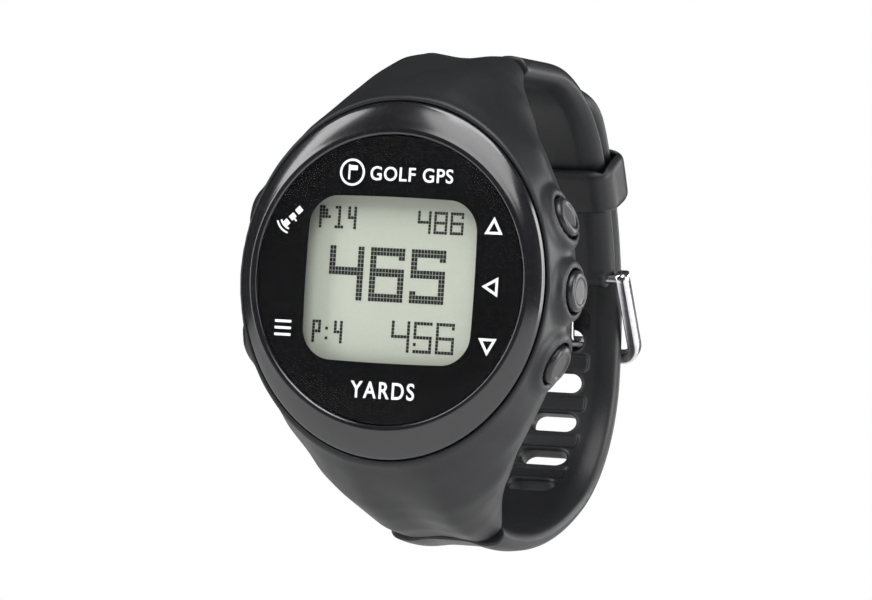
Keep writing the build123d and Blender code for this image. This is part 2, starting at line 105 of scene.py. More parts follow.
camera_data = bpy.data.cameras.new("camera")
camera_data.sensor_width = SENSOR_WIDTH
camera_data.lens = SENSOR_WIDTH * COLUMNS_PER_RADIAN / PICTURE_WIDTH
camera_data.shift_x = (PICTURE_WIDTH / 2 - GLASS_COLUMN) / PICTURE_WIDTH
camera_data.shift_y = (GLASS_ROW - PICTURE_HEIGHT / 2) / PICTURE_WIDTH
camera_data.clip_start, camera_data.clip_end = 0.01, 20.0
camera = new_object("camera", camera_data)
place = np.eye(4)
place[:3, 0], place[:3, 1], place[:3, 2] = right, up, back
place[:3, 3] = (glass_middle + CAMERA_DISTANCE * back) * MM
camera.matrix_world = Matrix(place.tolist())
scene.camera = camera
print("lens", round(camera_data.lens, 1), "mm, camera at",
      [round(float(v), 3) for v in place[:3, 3]])

# %% [markdown]
# ## From arrays to meshes
#
# Three kinds of surface make nearly every piece here.
#
# - A **profile carried along a path**: the bezel, the mask, the buckle. Each row of the grid is
#   one copy of the profile, and quads join row to row.
# - A **turned profile**: the same thing with a circle for its path, as a lathe makes it. The glass
#   and the button caps are turned.
# - A **grown surface**: the soft rubber of case, strap and keeper has collars, ridges and slots that
#   melt into one another, and no single grid follows them all. There a formula gives the distance
#   to the surface at every point of space, blends are smooth minimums of distances, and the mesh
#   is laid where the distance is zero.

# %% Meshes from arrays
def grid_faces(rows, columns, close_rows=True, close_columns=True, start=0):
    """Quads of a grid of points, rows times columns, whose last row and column may join the first."""
    r = np.arange(rows if close_rows else rows - 1)[:, None]
    c = np.arange(columns if close_columns else columns - 1)[None, :]
    r2, c2 = (r + 1) % rows, (c + 1) % columns
    corners = [r * columns + c, r * columns + c2, r2 * columns + c2, r2 * columns + c]
    return np.stack([k + 0 * (r + c) for k in corners], -1).reshape(-1, 4) + start


def outward_faces(points, faces):
    """The same faces, all turned over if the volume they close comes out negative."""
    triangles = np.concatenate([faces[:, :3], faces[:, [0, 2, 3]]])
    a, b, c = (points[triangles[:, k]] for k in range(3))
    volume = np.einsum("ij,ij->i", a, np.cross(b, c)).sum()
    return faces if volume > 0 else faces[:, ::-1]


def recalculate(mesh, merge=0.0):
    """Turns a mesh's faces to point outwards, after merging points that are within merge metres."""
    work = bmesh.new()
    work.from_mesh(mesh)
    if merge:
        bmesh.ops.remove_doubles(work, verts=work.verts, dist=merge)
    bmesh.ops.recalc_face_normals(work, faces=work.faces)
    work.to_mesh(mesh)
    work.free()


def add_piece(name, points, faces, body, material, replaced=(), smooth=True):
    """Makes one piece from points in millimetres and faces as indices, and ties it to the frame.

    An array of quads closes one solid and is turned over if that comes out inside out. A list
    holds faces of several sizes, and Blender works out which way each one points.
    """
    mixed = isinstance(faces, list)
    faces = faces if mixed else outward_faces(points, faces).tolist()
    mesh = bpy.data.meshes.new(name)
    mesh.from_pydata((points * MM).tolist(), [], faces)
    if mixed:
        recalculate(mesh)
    mesh.polygons.foreach_set("use_smooth", np.full(len(mesh.polygons), smooth))
    mesh.materials.append(material)
    mesh.update()
    piece = new_object(name, mesh)
    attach(piece, body)
    if replaced:
        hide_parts(*replaced)
    print(f"{name}: {len(mesh.vertices)} points, {len(mesh.polygons)} faces")
    return piece


def rounded_profile(corners, radii, steps=5):
    """A closed outline whose corners are rounded.

    At each corner the outline leaves the straight run one tangent length early and follows the
    arc that touches both runs. Returns the points in order, as an array of (u, v).
    """
    corners = np.asarray(corners, float)
    radii = np.broadcast_to(np.asarray(radii, float), len(corners))
    before = np.roll(corners, 1, 0) - corners
    after = np.roll(corners, -1, 0) - corners
    before /= np.linalg.norm(before, axis=1, keepdims=True)
    after /= np.linalg.norm(after, axis=1, keepdims=True)
    half = np.arccos(np.clip((before * after).sum(1), -1, 1)) / 2
    middle = corners + (before + after) / np.linalg.norm(before + after, axis=1, keepdims=True) * (
        radii / np.sin(half))[:, None]
    start = corners + before * (radii / np.tan(half))[:, None] - middle
    end = corners + after * (radii / np.tan(half))[:, None] - middle
    turn = np.arctan2(start[:, 0] * end[:, 1] - start[:, 1] * end[:, 0], (start * end).sum(1))
    angle = turn[:, None] * np.linspace(0, 1, steps)[None, :]
    cosine, sine = np.cos(angle), np.sin(angle)
    x = middle[:, :1] + start[:, :1] * cosine - start[:, 1:] * sine
    y = middle[:, 1:] + start[:, :1] * sine + start[:, 1:] * cosine
    return np.stack([x, y], -1).reshape(-1, 2)


def turned(profile, middle, axis, side, count=96):
    """A profile of (radius, height) pairs spun round an axis: its points, and the grid's two sizes."""
    axis, side = np.asarray(axis, float), np.asarray(side, float)
    other = np.cross(axis, side)
    angle = np.linspace(0, 2 * np.pi, count, endpoint=False)
    ray = np.cos(angle)[:, None] * side + np.sin(angle)[:, None] * other
    profile = np.asarray(profile, float)
    points = (np.asarray(middle, float) + profile[:, 1, None, None] * axis
              + profile[:, 0, None, None] * ray[None]).reshape(-1, 3)
    return points, len(profile), count


def closed_turned(profile, middle, axis, side, count=96):
    """A turned profile that starts and ends on the axis, with one point for each pole.

    Returns the points and a list of faces: quads between the rings and a fan at each pole.
    """
    points, rows, count = turned(profile[1:-1], middle, axis, side, count)
    faces = grid_faces(rows, count, close_rows=False)
    top, bottom = len(points), len(points) + 1
    ends = np.asarray(middle, float) + np.asarray([profile[0][1], profile[-1][1]])[:, None] * axis
    points = np.concatenate([points, ends])
    ring_a = np.arange(count)
    ring_b = (rows - 1) * count + ring_a
    fan_a = np.stack([np.full(count, top), np.roll(ring_a, -1), ring_a], 1)
    fan_b = np.stack([np.full(count, bottom), ring_b, np.roll(ring_b, -1)], 1)
    return points, faces.tolist() + fan_a.tolist() + fan_b.tolist()

# %% Grown surfaces
CORNERS = np.array([(i, j, k) for i in (0, 1) for j in (0, 1) for k in (0, 1)])
LEAST_SLOPE = 0.05                           # keeps a step downhill short where a field is nearly level


def soft_max(a, b, width):
    """The larger of two distances, eased where they are within width of each other: a rounded edge.

    Added to the plain maximum is width / 4 times the square of how near the two are, from 0 to 1.
    """
    near = np.clip(1 - np.abs(a - b) / width, 0, 1)
    return np.maximum(a, b) + near * near * width / 4


def soft_min(a, b, width):
    """The smaller of two distances, eased in the same way: a filleted join."""
    return -soft_max(-a, -b, width)


def gradient(field, points, step=0.02):
    """How the field rises along each axis, from its values a small step either side."""
    return np.stack([(field(*(points + d).T) - field(*(points - d).T)) / (2 * step)
                     for d in np.eye(3) * step], 1)


def grow(field, low, high, step):
    """A closed mesh where a field is zero: inside is negative.

    The box is cut into cubes. Every cube that the surface passes through gets one point, the mean
    of where the surface crosses its edges. Every grid edge with one end inside gets one quad
    between the four cubes round it. Three steps downhill then bring each point onto the surface.
    """
    axes = [np.arange(a, b + step, step) for a, b in zip(low, high)]
    value = field(*np.meshgrid(*axes, indexing="ij")).astype(np.float32)
    inside = value < 0
    cells = np.array(value.shape) - 1
    count = sum(inside[i:cells[0] + i, j:cells[1] + j, k:cells[2] + k].astype(np.int8)
                for i, j, k in CORNERS)
    crossed = (count > 0) & (count < 8)
    number = np.full(crossed.shape, -1)
    number[crossed] = np.arange(crossed.sum())
    cell = np.argwhere(crossed)
    total, crossings = np.zeros((len(cell), 3)), np.zeros((len(cell), 1))
    quads = []
    for axis in range(3):
        along = np.eye(3, dtype=int)[axis]
        side_a, side_b = np.eye(3, dtype=int)[(axis + 1) % 3], np.eye(3, dtype=int)[(axis + 2) % 3]
        for shift in (0 * along, side_a, side_b, side_a + side_b):
            p, q = cell + shift, cell + shift + along
            fp, fq = value[tuple(p.T)], value[tuple(q.T)]
            cross = (fp < 0) != (fq < 0)
            part = np.where(cross, fp / np.where(cross, fp - fq, 1), 0)
            total += np.where(cross[:, None], p + along * part[:, None], 0)
            crossings += cross[:, None]
        first, second = [slice(1, -1)] * 3, [slice(1, -1)] * 3
        first[axis], second[axis] = slice(0, -1), slice(1, None)
        start = inside[tuple(first)]
        edge = np.argwhere(start != inside[tuple(second)])
        leaving = start[tuple(edge.T)]
        edge = edge + (1 - along)
        quad = np.stack([number[tuple((edge - a - b).T)] for a, b in (
            (side_a, side_b), (side_b, 0 * along), (0 * along, 0 * along), (side_a, 0 * along))], 1)
        quads.append(np.where(leaving[:, None], quad, quad[:, ::-1]))
    points = total / crossings * step + np.array(low)
    for _ in range(3):
        slope = gradient(field, points)
        steepness = np.maximum((slope ** 2).sum(1, keepdims=True), LEAST_SLOPE)
        move = field(*points.T)[:, None] * slope / steepness
        points -= np.clip(move, -step / 2, step / 2)
    return points, np.concatenate(quads)


# %% [markdown]
# ## Finishes
#
# Nothing on a real moulding is one flat colour. Matt rubber has a fine sparkle from its spark
# eroded mould, gloss plastic has faint swirls and finger marks, steel has brush lines. Three
# small shader groups give those marks, and every finish below uses them with its own sizes:
# **grain**, a fine even texture, **brushing**, the same drawn out into lines, and **handling**,
# broad soft patches where hands have changed the gloss. They work in Object coordinates, so that a
# mark has the same size on every piece.

# %% Shader groups
def new_group(name, inputs, outputs):
    """An empty node group with named number inputs, as (name, default), and named number outputs."""
    group = bpy.data.node_groups.new(name, "ShaderNodeTree")
    for label, default in inputs:
        socket = group.interface.new_socket(label, in_out="INPUT", socket_type="NodeSocketFloat")
        socket.default_value = default
    for label in outputs:
        group.interface.new_socket(label, in_out="OUTPUT", socket_type="NodeSocketFloat")
    return group, group.nodes.new("NodeGroupInput"), group.nodes.new("NodeGroupOutput")


def add_noise(tree, scale_socket, detail, stretch=(1, 1, 1)):
    """A noise texture on Object coordinates, stretched along the axes if asked; returns its value."""
    place = tree.nodes.new("ShaderNodeTexCoord")
    mapping = tree.nodes.new("ShaderNodeMapping")
    mapping.inputs["Scale"].default_value = stretch
    noise = tree.nodes.new("ShaderNodeTexNoise")
    noise.inputs["Detail"].default_value = detail
    tree.links.new(place.outputs["Object"], mapping.inputs["Vector"])
    tree.links.new(mapping.outputs["Vector"], noise.inputs["Vector"])
    tree.links.new(scale_socket, noise.inputs["Scale"])
    return noise.outputs["Fac"]


def map_range(tree, value, from_low, from_high, to_low=0.0, to_high=1.0):
    """A Map Range node whose ends are numbers or sockets; returns its result."""
    node = tree.nodes.new("ShaderNodeMapRange")
    tree.links.new(value, node.inputs["Value"])
    for label, end in (("From Min", from_low), ("From Max", from_high),
                       ("To Min", to_low), ("To Max", to_high)):
        if isinstance(end, (int, float)):
            node.inputs[label].default_value = end
        else:
            tree.links.new(end, node.inputs[label])
    return node.outputs["Result"]


def make_texture(name, scale, detail, low, high, stretch=(1, 1, 1)):
    """A texture's relief: Height is the noise itself, and Crest picks out what lies above low."""
    group, inputs, outputs = new_group(name, [("Scale", scale)], ["Height", "Crest"])
    fac = add_noise(group, inputs.outputs["Scale"], detail, stretch)
    group.links.new(fac, outputs.inputs["Height"])
    group.links.new(map_range(group, fac, low, high), outputs.inputs["Crest"])
    return group


def make_handling():
    """Broad patches: Roughness wanders between Low and High."""
    group, inputs, outputs = new_group(
        "handling", [("Scale", 120.0), ("Low", 0.3), ("High", 0.5)], ["Roughness"])
    fac = add_noise(group, inputs.outputs["Scale"], 4.0)
    result = map_range(group, fac, 0.32, 0.68, inputs.outputs["Low"], inputs.outputs["High"])
    group.links.new(result, outputs.inputs["Roughness"])
    return group


HANDLING = make_handling()
TEXTURES = {"grain": make_texture("grain", 3000.0, 3.0, 0.56, 0.72),
            # fine parallel lines along X, as an abrasive belt leaves on metal
            "brushing": make_texture("brushing", 900.0, 2.0, 0.4, 0.65, stretch=(0.04, 1.0, 1.0))}

# %% A finish from its numbers
finishes = {}


def make_finish(name, colour, gloss=(0.35, 0.5), sparkle=None, grain_scale=3000.0, relief=0.02,
                patches=120.0, texture="grain", **sockets):
    """A Principled material with the groups above.

    colour is the body colour and sparkle the colour of the texture's high grains, gloss is the
    roughness at its lowest and highest, relief is the grain's height in millimetres, and the
    rest go to the shader's own sockets by name.
    """
    material = bpy.data.materials.new(name)
    material.use_nodes = True
    tree = material.node_tree
    shader = tree.nodes["Principled BSDF"]
    texture_node = tree.nodes.new("ShaderNodeGroup")
    texture_node.node_tree = TEXTURES[texture]
    texture_node.inputs["Scale"].default_value = grain_scale
    mix = tree.nodes.new("ShaderNodeMix")
    mix.data_type = "RGBA"
    mix.inputs["A"].default_value = (*colour, 1)
    mix.inputs["B"].default_value = (*(sparkle or [min(1, c * 1.5 + 0.004) for c in colour]), 1)
    tree.links.new(texture_node.outputs["Crest"], mix.inputs["Factor"])
    tree.links.new(mix.outputs["Result"], shader.inputs["Base Color"])
    patch = tree.nodes.new("ShaderNodeGroup")
    patch.node_tree = HANDLING
    for label, value in (("Scale", patches), ("Low", gloss[0]), ("High", gloss[1])):
        patch.inputs[label].default_value = value
    tree.links.new(patch.outputs["Roughness"], shader.inputs["Roughness"])
    bump = tree.nodes.new("ShaderNodeBump")
    bump.inputs["Strength"].default_value = 1.0
    bump.inputs["Distance"].default_value = relief * MM
    tree.links.new(texture_node.outputs["Height"], bump.inputs["Height"])
    tree.links.new(bump.outputs["Normal"], shader.inputs["Normal"])
    for label, value in sockets.items():
        shader.inputs[label.replace("_", " ")].default_value = value
    finishes[name] = material
    return material


rubber = make_finish("case_rubber", (0.0100, 0.0103, 0.0118), gloss=(0.38, 0.48), grain_scale=5200,
                     relief=0.016, sparkle=(0.017, 0.0175, 0.020), Specular_IOR_Level=0.36)
strap_rubber = make_finish("strap_rubber", (0.0095, 0.0098, 0.0112), gloss=(0.36, 0.46), grain_scale=4800,
                           relief=0.016, sparkle=(0.016, 0.0165, 0.019), Specular_IOR_Level=0.36)
bezel_gloss = make_finish("bezel_gloss", (0.008, 0.008, 0.010), gloss=(0.16, 0.24), grain_scale=1500,
                          relief=0.001, Coat_Weight=0.5, Coat_Roughness=0.12)
button_gloss = make_finish("button_plastic", (0.010, 0.010, 0.012), gloss=(0.30, 0.38),
                           grain_scale=2500, relief=0.003)
steel = make_finish("buckle_steel", (0.62, 0.61, 0.64), gloss=(0.16, 0.26), sparkle=(0.74, 0.73, 0.76),
                    grain_scale=2500, relief=0.002, texture="brushing", Metallic=1.0)
print("finishes:", ", ".join(finishes))

# %% [markdown]
# ## The case
#
# The case is one moulding of soft matt rubber over a hard shell. Its front is an oval lip round
# the bezel. Behind the lip it swells, and at 12 and 6 o'clock it stretches into shoulders that
# narrow to the strap. A ridge runs down each side of a shoulder, with a shallow dish between.
#
# It could be sculpted from a subdivided box, but the sizes would be by eye. Here its outline is
# given at seven depths, as the places its edge passes through, and eased between them.

# %% Case outline
LIP_WIDTH, LIP_HEIGHT = 23.35, 25.4          # half sizes of the oval lip
SEAM_TOP = np.array([8.14, 32.09])           # (Y, Z) where the strap begins
SEAM_BOTTOM = np.array([10.44, -34.78])
BOTTOM_SLOPE = np.radians(11.4)              # the strap still runs down there
SHELL_FRONT = node_box("case_shell")[0][1]
oval_turn = np.radians(np.arange(0, 91, 7.5))
lip = np.stack([LIP_WIDTH * np.sin(oval_turn), LIP_HEIGHT * np.cos(oval_turn)], 1)

# depth Y: places (X, Z) of the edge, from 12 o'clock round to 3; the lower one goes from 6 to 3
TOP_OUTLINES = {
    -13.3: lip,
    -10.5: [(0, 27), (5.9, 26.8), (10.5, 24.6), (15.6, 20.6),
        (19.6, 15.2), (22.4, 8.5), (23.75, 0)],
    -7.0: [(0, 28.7), (5.9, 28.8), (10.6, 26.3), (17.9, 19.8),
        (20.6, 14.5), (22.8, 8), (23.85, 0)],
    -3.5: [(0, 30.2), (5.9, 30.6), (9.2, 29), (12, 26.4),
        (17, 19.8), (19.6, 14.5), (22.2, 8), (23.4, 0)],
    0.0: [(0, 31.3), (5.9, 32), (9, 30), (12.8, 26.3),
        (15.5, 19.8), (18.3, 14.5), (21, 8), (22.3, 0)],
    4.6: [(0, 32.1), (5.9, 32.7), (8.9, 30.6), (11, 26.5),
        (13.5, 19.8), (16.5, 13), (19, 7), (20, 0)],
    8.4: [(0, 32.4), (5.9, 32.9), (8.7, 31.2), (9.2, 28.8),
        (9.4, 24), (10, 16), (12, 8), (14, 0)],
}
BOTTOM_OUTLINES = {
    -13.3: lip,
    -10.5: [(0, 27.3), (5.9, 27.1), (10.5, 25), (15.6, 20.8),
        (19.6, 15.3), (22.4, 8.5), (23.75, 0)],
    -7.0: [(0, 29.3), (5.9, 29.4), (10.9, 27.2), (17.4, 20.8),
        (20.6, 14.5), (22.8, 8), (23.85, 0)],
    -3.5: [(0, 31.1), (5.9, 31.5), (9.2, 30.3), (13.9, 26.6),
        (16.4, 21.8), (19.6, 14.8), (22.2, 8), (23.4, 0)],
    0.0: [(0, 32.5), (5.9, 33.1), (9.6, 31), (12.9, 27.9),
        (15, 20.8), (17.6, 15.2), (21, 8), (22.3, 0)],
    4.6: [(0, 33.8), (5.9, 34.5), (9.2, 32.6), (10.9, 27.9),
        (13, 20.8), (16, 13), (19, 7), (20, 0)],
    11.0: [(0, 34.9), (5.9, 35.4), (8.8, 33.4), (9.2, 31),
        (9.4, 25), (10, 16), (12, 8), (14, 0)],
}
TURN_STEP, DEPTH_STEP = 1.0, 0.25            # degrees and mm between the table's entries
DEPTHS = np.arange(-15.0, 12.01, DEPTH_STEP)
TURN_BLUR, DEPTH_BLUR = 2.0, 0.7             # degrees and mm that the corners are rounded by
PLACES = 400                                 # along each outline
TURNS = np.arange(0, 181, TURN_STEP)         # from 12 o'clock round to 6


def blur(table, widths):
    """Averages a table with a bell-shaped weight of the given widths, in entries, along both ways."""
    for axis, width in enumerate(widths):
        reach = int(np.ceil(3 * width))
        weight = np.exp(-0.5 * (np.arange(-reach, reach + 1) / width) ** 2)
        pad = [(reach, reach) if k == axis else (0, 0) for k in range(2)]
        mode = "reflect" if axis == 0 else "edge"
        padded = np.pad(table, pad, mode=mode)
        table = sum(w * np.take(padded, np.arange(table.shape[axis]) + k, axis)
                    for k, w in enumerate(weight / weight.sum()))
    return table


def outline_table():
    """Distance from the head's axis to the case's side, by turn from 12 o'clock and by depth.

    Each outline's places are turned into (angle, distance) pairs and joined by straight runs,
    first round the outline and then from depth to depth. The blur then rounds the corners.
    """
    halves = []
    for outlines in (TOP_OUTLINES, BOTTOM_OUTLINES):
        rows = []
        for places in outlines.values():
            x, z = np.asarray(places, float).T
            fine = np.linspace(0, len(x) - 1, PLACES)
            x, z = np.interp(fine, np.arange(len(x)), x), np.interp(fine, np.arange(len(z)), z)
            rows.append(np.interp(TURNS[TURNS <= 90], np.degrees(np.arctan2(x, z)), np.hypot(x, z)))
        rows, keys = np.array(rows), np.array(list(outlines))
        halves.append(np.array([np.interp(DEPTHS, keys, column) for column in rows.T]))
    table = np.concatenate([halves[0], halves[1][-2::-1]])
    return blur(table, (TURN_BLUR / TURN_STEP, DEPTH_BLUR / DEPTH_STEP))


OUTLINE = outline_table()
print("case outline table:", OUTLINE.shape, "from", round(OUTLINE.min(), 1), "to",
      round(OUTLINE.max(), 1), "mm")


def case_side(x, y, z):
    """Distance outside the case's side: how far a point is from the axis, less the table's entry.

    The entry is read between its four neighbours. The difference is shortened by the table's own
    slope, so that it stays close to a true distance where the outline runs in or out.
    """
    turn = np.clip(np.degrees(np.arctan2(np.abs(x), z)) / TURN_STEP, 0, len(TURNS) - 1.001)
    depth = np.clip((y - DEPTHS[0]) / DEPTH_STEP, 0, len(DEPTHS) - 1.001)
    i, j = turn.astype(int), depth.astype(int)
    u, v = turn - i, depth - j
    a, b, c, d = OUTLINE[i, j], OUTLINE[i + 1, j], OUTLINE[i, j + 1], OUTLINE[i + 1, j + 1]
    reach = (a * (1 - u) + b * u) * (1 - v) + (c * (1 - u) + d * u) * v
    round_slope = ((b - a) * (1 - v) + (d - c) * v) / np.radians(TURN_STEP) / reach
    depth_slope = ((c - a) * (1 - u) + (d - b) * u) / DEPTH_STEP
    return (np.hypot(x, z) - reach) / np.sqrt(1 + round_slope ** 2 + depth_slope ** 2)

# %% [markdown]
# ## What is cut out of the case and added to it
#
# Each button stands in a round collar that flares into the case's side, and slides in a stepped
# bore. The front is hollow for the display and the back for the board, the caseback has its
# recess, and each strap half hooks into a pocket under its shoulder.

# %% Case surface
BUTTON_TURNS = {"up_button": 24.0, "back_button": 0.0, "down_button": -24.0,
                "gps_button": 156.0, "menu_button": 204.0}
COLLAR_FACE = 24.8
CAP_POCKET = 3.2                             # radius round a cap, which is 2.85
COLLAR_HALF, COLLAR_FLARE, COLLAR_START = 4.1, 0.24, 15.0
button_y = sum(c[1] for c in node_box("up_button")) / 2
# a button's bore: radius, and where it starts and ends along the button's axis
BORES = ((CAP_POCKET, 22.7, 30), (1.9, 19.6, 24), (0.86, 14, 24), (1.6, 14, 16.7))
TOP_BAR, BOTTOM_BAR = np.array([5.6, 29.785]), np.array([8.565, -31.963])
LUG_HALF, LUG_ROOF = 4.6, 1.45               # half width of a pocket, and bar to its roof


def button_axis(angle):
    """The direction a button points, square to the head's axis."""
    return np.array([np.cos(np.radians(angle)), 0.0, np.sin(np.radians(angle))])


def rod_distance(reach, off, radius, start, end):
    """Distance to a rod that runs from start to end along an axis: reach along it, off beside it."""
    return np.maximum(off - radius, np.maximum(start - reach, reach - end))


def from_button(turn, x, y, z):
    """How far points are along a button's axis, and how far off it."""
    ax, _, az = button_axis(turn)
    return x * ax + z * az, np.hypot(x * az - z * ax, y - button_y)


def case_field(x, y, z):
    """Distance to the case: the side, cut by the front, the wrist side and the two seams,
    with a collar eased on at each button and every recess and bore taken away."""
    side = case_side(x, y, z)
    ridge = 0.12 * np.exp(-((np.abs(x) - 6.2) / 2.0) ** 2) - 0.12 * np.exp(-(x / 3.5) ** 2)
    side = side - ridge * np.clip((np.abs(z) - 25) / 4, 0, 1) * np.clip((y + 9) / 7, 0, 1)
    top_wrist = (y - 0.95 * np.maximum(z - 21.0, 0)) / 1.38
    bottom_wrist = (y - 0.985 * np.maximum(-z - 20.9, 0)) / 1.40
    body = soft_max(side, np.where(z > 0, top_wrist, bottom_wrist), 1.6)
    for turn in BUTTON_TURNS.values():
        reach, off = from_button(turn, x, y, z)
        cone = (off - COLLAR_HALF - COLLAR_FLARE * (COLLAR_FACE - reach)) * 0.97
        cone = np.maximum(cone, COLLAR_START - reach)
        collar = soft_max(cone, reach - COLLAR_FACE, 0.7)
        body = soft_min(body, collar, 1.5)
    body = soft_max(body, SHELL_FRONT - y, 0.5)
    body = np.maximum(body, np.where(z > 0, y - SEAM_TOP[0], -99.0))
    past_bottom = ((y - SEAM_BOTTOM[0]) * np.cos(BOTTOM_SLOPE)
                   - (z - SEAM_BOTTOM[1]) * np.sin(BOTTOM_SLOPE))
    body = soft_max(body, np.where(z < -20, past_bottom, -99.0), 0.3)

    radius = np.hypot(x, z)
    oval = (np.hypot(x / 22.75, z / 24.8) - 1) * 23.0
    hollow = np.maximum(oval, y + 12.6)                                  # the bezel's seat
    for half, past in ((19.6, y + 9.5), (16.6, y - 3), (19.65, -1.8 - y)):   # display, board, back
        hollow = np.minimum(hollow, np.maximum(radius - half, past))
    for turn in BUTTON_TURNS.values():
        reach, off = from_button(turn, x, y, z)
        for bore in BORES:
            hollow = np.minimum(hollow, rod_distance(reach, off, *bore))
    for (bar_y, bar_z), side_sign in ((TOP_BAR, 1), (BOTTOM_BAR, -1)):
        roof = side_sign * (z - bar_z) - LUG_ROOF
        pocket = np.maximum(np.maximum(np.abs(x) - LUG_HALF, roof), bar_y - LUG_ROOF - y)
        pocket = np.maximum(pocket, -8 - side_sign * (z - bar_z))
        hollow = np.minimum(hollow, pocket)
    return soft_max(body, -hollow, 0.25)


CASE_STEP = 0.36
points, faces = grow(case_field, (-28.5, -13.8, -37.0), (28.5, 12.2, 34.5), CASE_STEP)
add_piece("case_shell_skin", points, faces, "root", rubber, ["case_shell"])

# %% [markdown]
# ## The strap
#
# Both halves are flat mouldings that only bend when the strap is shut. So each is grown flat, with
# its length, height and width as coordinates, which keeps slots, ridges and edges simple, and the
# finished points are then laid along the strap's own curve: four tangent arcs for the lower half,
# a straight and two arcs for the upper.

# %% A strap's curve
BACK_CENTRE, SHOULDER_CENTRE = np.array([-12.5, -11.0]), (19.501, 10.585)
STRAP_HALF, STRAP_THICK, TAIL_RADIUS = 9.2, 2.7, 62.9
# arcs of the outer faces, from the case on: centre (Y, Z), radius, first and last angle
LOWER_ARCS = [((18.70, 5.80), 41.4, -101.32, -60.0), ((28.4, -11.0), 22.0, -60.0, 0.0),
              (tuple(BACK_CENTRE), TAIL_RADIUS, 0.0, 34.0), (SHOULDER_CENTRE, 24.3, 34.0, 62.0)]
UPPER_ARCS = [(SHOULDER_CENTRE, 21.5, 90.0, 34.0), (tuple(BACK_CENTRE), 60.1, 34.0, 14.4)]
UPPER_START = (8.26, 32.085)
UPPER_FLAT = SHOULDER_CENTRE[0] - UPPER_START[0]
LOWER_LENGTHS = [r * np.radians(b - a) for _, r, a, b in LOWER_ARCS]
UPPER_LENGTHS = [UPPER_FLAT] + [r * np.radians(a - b) for _, r, a, b in UPPER_ARCS]
LOWER_LENGTH, UPPER_LENGTH = sum(LOWER_LENGTHS), sum(UPPER_LENGTHS)


def lay_on_arcs(s, h, arcs, starts, way):
    """Y and Z of points at s along a chain of arcs and h above it; way is 1 or -1, as angles rise
    or fall. The arc that holds s turns it into an angle, and the point lies h beyond that arc's
    radius. Points before the start or past the end carry on round the first or last arc."""
    index = np.clip(np.searchsorted(starts, s, side="right") - 1, 0, len(arcs) - 1)
    centre, radius, first = (np.array([arc[k] for arc in arcs])[index] for k in range(3))
    angle = np.radians(first) + way * (s - starts[index]) / radius
    return centre[:, 0] + (radius + h) * np.cos(angle), centre[:, 1] + (radius + h) * np.sin(angle)


def lay_lower(s, h, x):
    """Lays flat points on the lower half's curve: s along it, h above its outer face, x across."""
    y, z = lay_on_arcs(s, h, LOWER_ARCS, np.cumsum([0] + LOWER_LENGTHS[:-1]), 1)
    return np.stack([x, y, z], 1)


def lay_upper(s, h, x):
    """The same for the upper half, whose start is a straight run level with the shoulder."""
    y, z = lay_on_arcs(s, h, UPPER_ARCS, np.cumsum(UPPER_LENGTHS[:-1]), -1)
    flat = s < UPPER_FLAT
    return np.stack([x, np.where(flat, UPPER_START[0] + s, y), np.where(flat, UPPER_START[1] + h, z)], 1)


print("strap halves:", round(UPPER_LENGTH, 1), "and", round(LOWER_LENGTH, 1), "mm along the outside")

# %% [markdown]
# ## The strap's section
#
# Across its width the outer face has two low ridges with a dish between them, and falls away at
# the edges. The inner face is flat in the middle, where it lies on the wrist, with a wide bevel to
# each edge. Where the halves lie on each other the ridges fade out.

# %% Strap fields
SLOT_PITCH, SLOT_HALF_WIDTH, SLOT_HALF_LENGTH = 6.6, 3.5, 1.5
PIN_ANGLE = np.radians(5.3)                  # the tongue's slot, on the back curve
pin_place = LOWER_LENGTHS[0] + LOWER_LENGTHS[1] + TAIL_RADIUS * PIN_ANGLE
slot_places = pin_place + SLOT_PITCH * np.arange(-4, 4)


def strap_section(h, x, ridge):
    """Distance outside the strap's section; ridge scales the outer face's relief."""
    a = np.abs(x)
    outer = ridge * (0.34 + 0.56 * np.exp(-((a - 5.9) / 2.2) ** 2)
                     - 1.1 * np.clip((a - 7.4) / 1.8, 0, 1) ** 2)
    inner = STRAP_THICK - 1.15 * np.clip((a - 5.6) / 3.6, 0, 1) ** 1.5
    face = soft_max(h - outer, -h - inner, 0.3)
    return soft_max(face, a - STRAP_HALF, 1.5)


def knuckle_field(s, h, x):
    """The end that hooks into the case: a barrel round the lug bar and the web behind it."""
    bar_s, bar_h = -2.66, -2.3
    barrel = np.hypot(s - bar_s, h - bar_h) - 1.35
    web = np.maximum(np.abs(h - bar_h - 0.05) - 1.15, np.maximum(bar_s - s, s - 0.6))
    solid = np.maximum(np.minimum(barrel, web), np.abs(x) - 4.5)
    return np.maximum(solid, 0.8 - np.hypot(s - bar_s, h - bar_h))


def lower_field(s, h, x):
    """The lower half: section, rounded tail, eight slots with shallow pads between them."""
    ridge = np.clip(1 - s / 40.0, 0, 1)
    band = soft_max(strap_section(h, x, ridge), -s, 0.25)
    beyond = np.maximum(s - (LOWER_LENGTH - STRAP_HALF), 0)
    tail = np.hypot(beyond, x) - STRAP_HALF
    band = soft_max(band, tail, 1.2)
    run = (s - slot_places[0]) / SLOT_PITCH
    along = s - slot_places[np.clip(np.round(run).astype(int), 0, len(slot_places) - 1)]
    past_middle = np.maximum(np.abs(x) - (SLOT_HALF_WIDTH - SLOT_HALF_LENGTH), 0)
    slot = np.hypot(past_middle, along) - SLOT_HALF_LENGTH
    band = soft_max(band, -slot, 0.6)
    between = s - slot_places[0] - SLOT_PITCH * (np.round(run - 0.5) + 0.5)
    pad = soft_max(np.abs(between) - 1.15, np.abs(x) - 4.4, 0.8)
    pad = np.maximum(pad, -h - STRAP_THICK - 1)
    pad = np.maximum(pad, h + STRAP_THICK - 0.28)
    near_slots = np.maximum(slot_places[0] - s, s - slot_places[-1])
    band = soft_max(band, -np.maximum(pad, near_slots), 0.3)
    return np.minimum(band, knuckle_field(s, h, x))


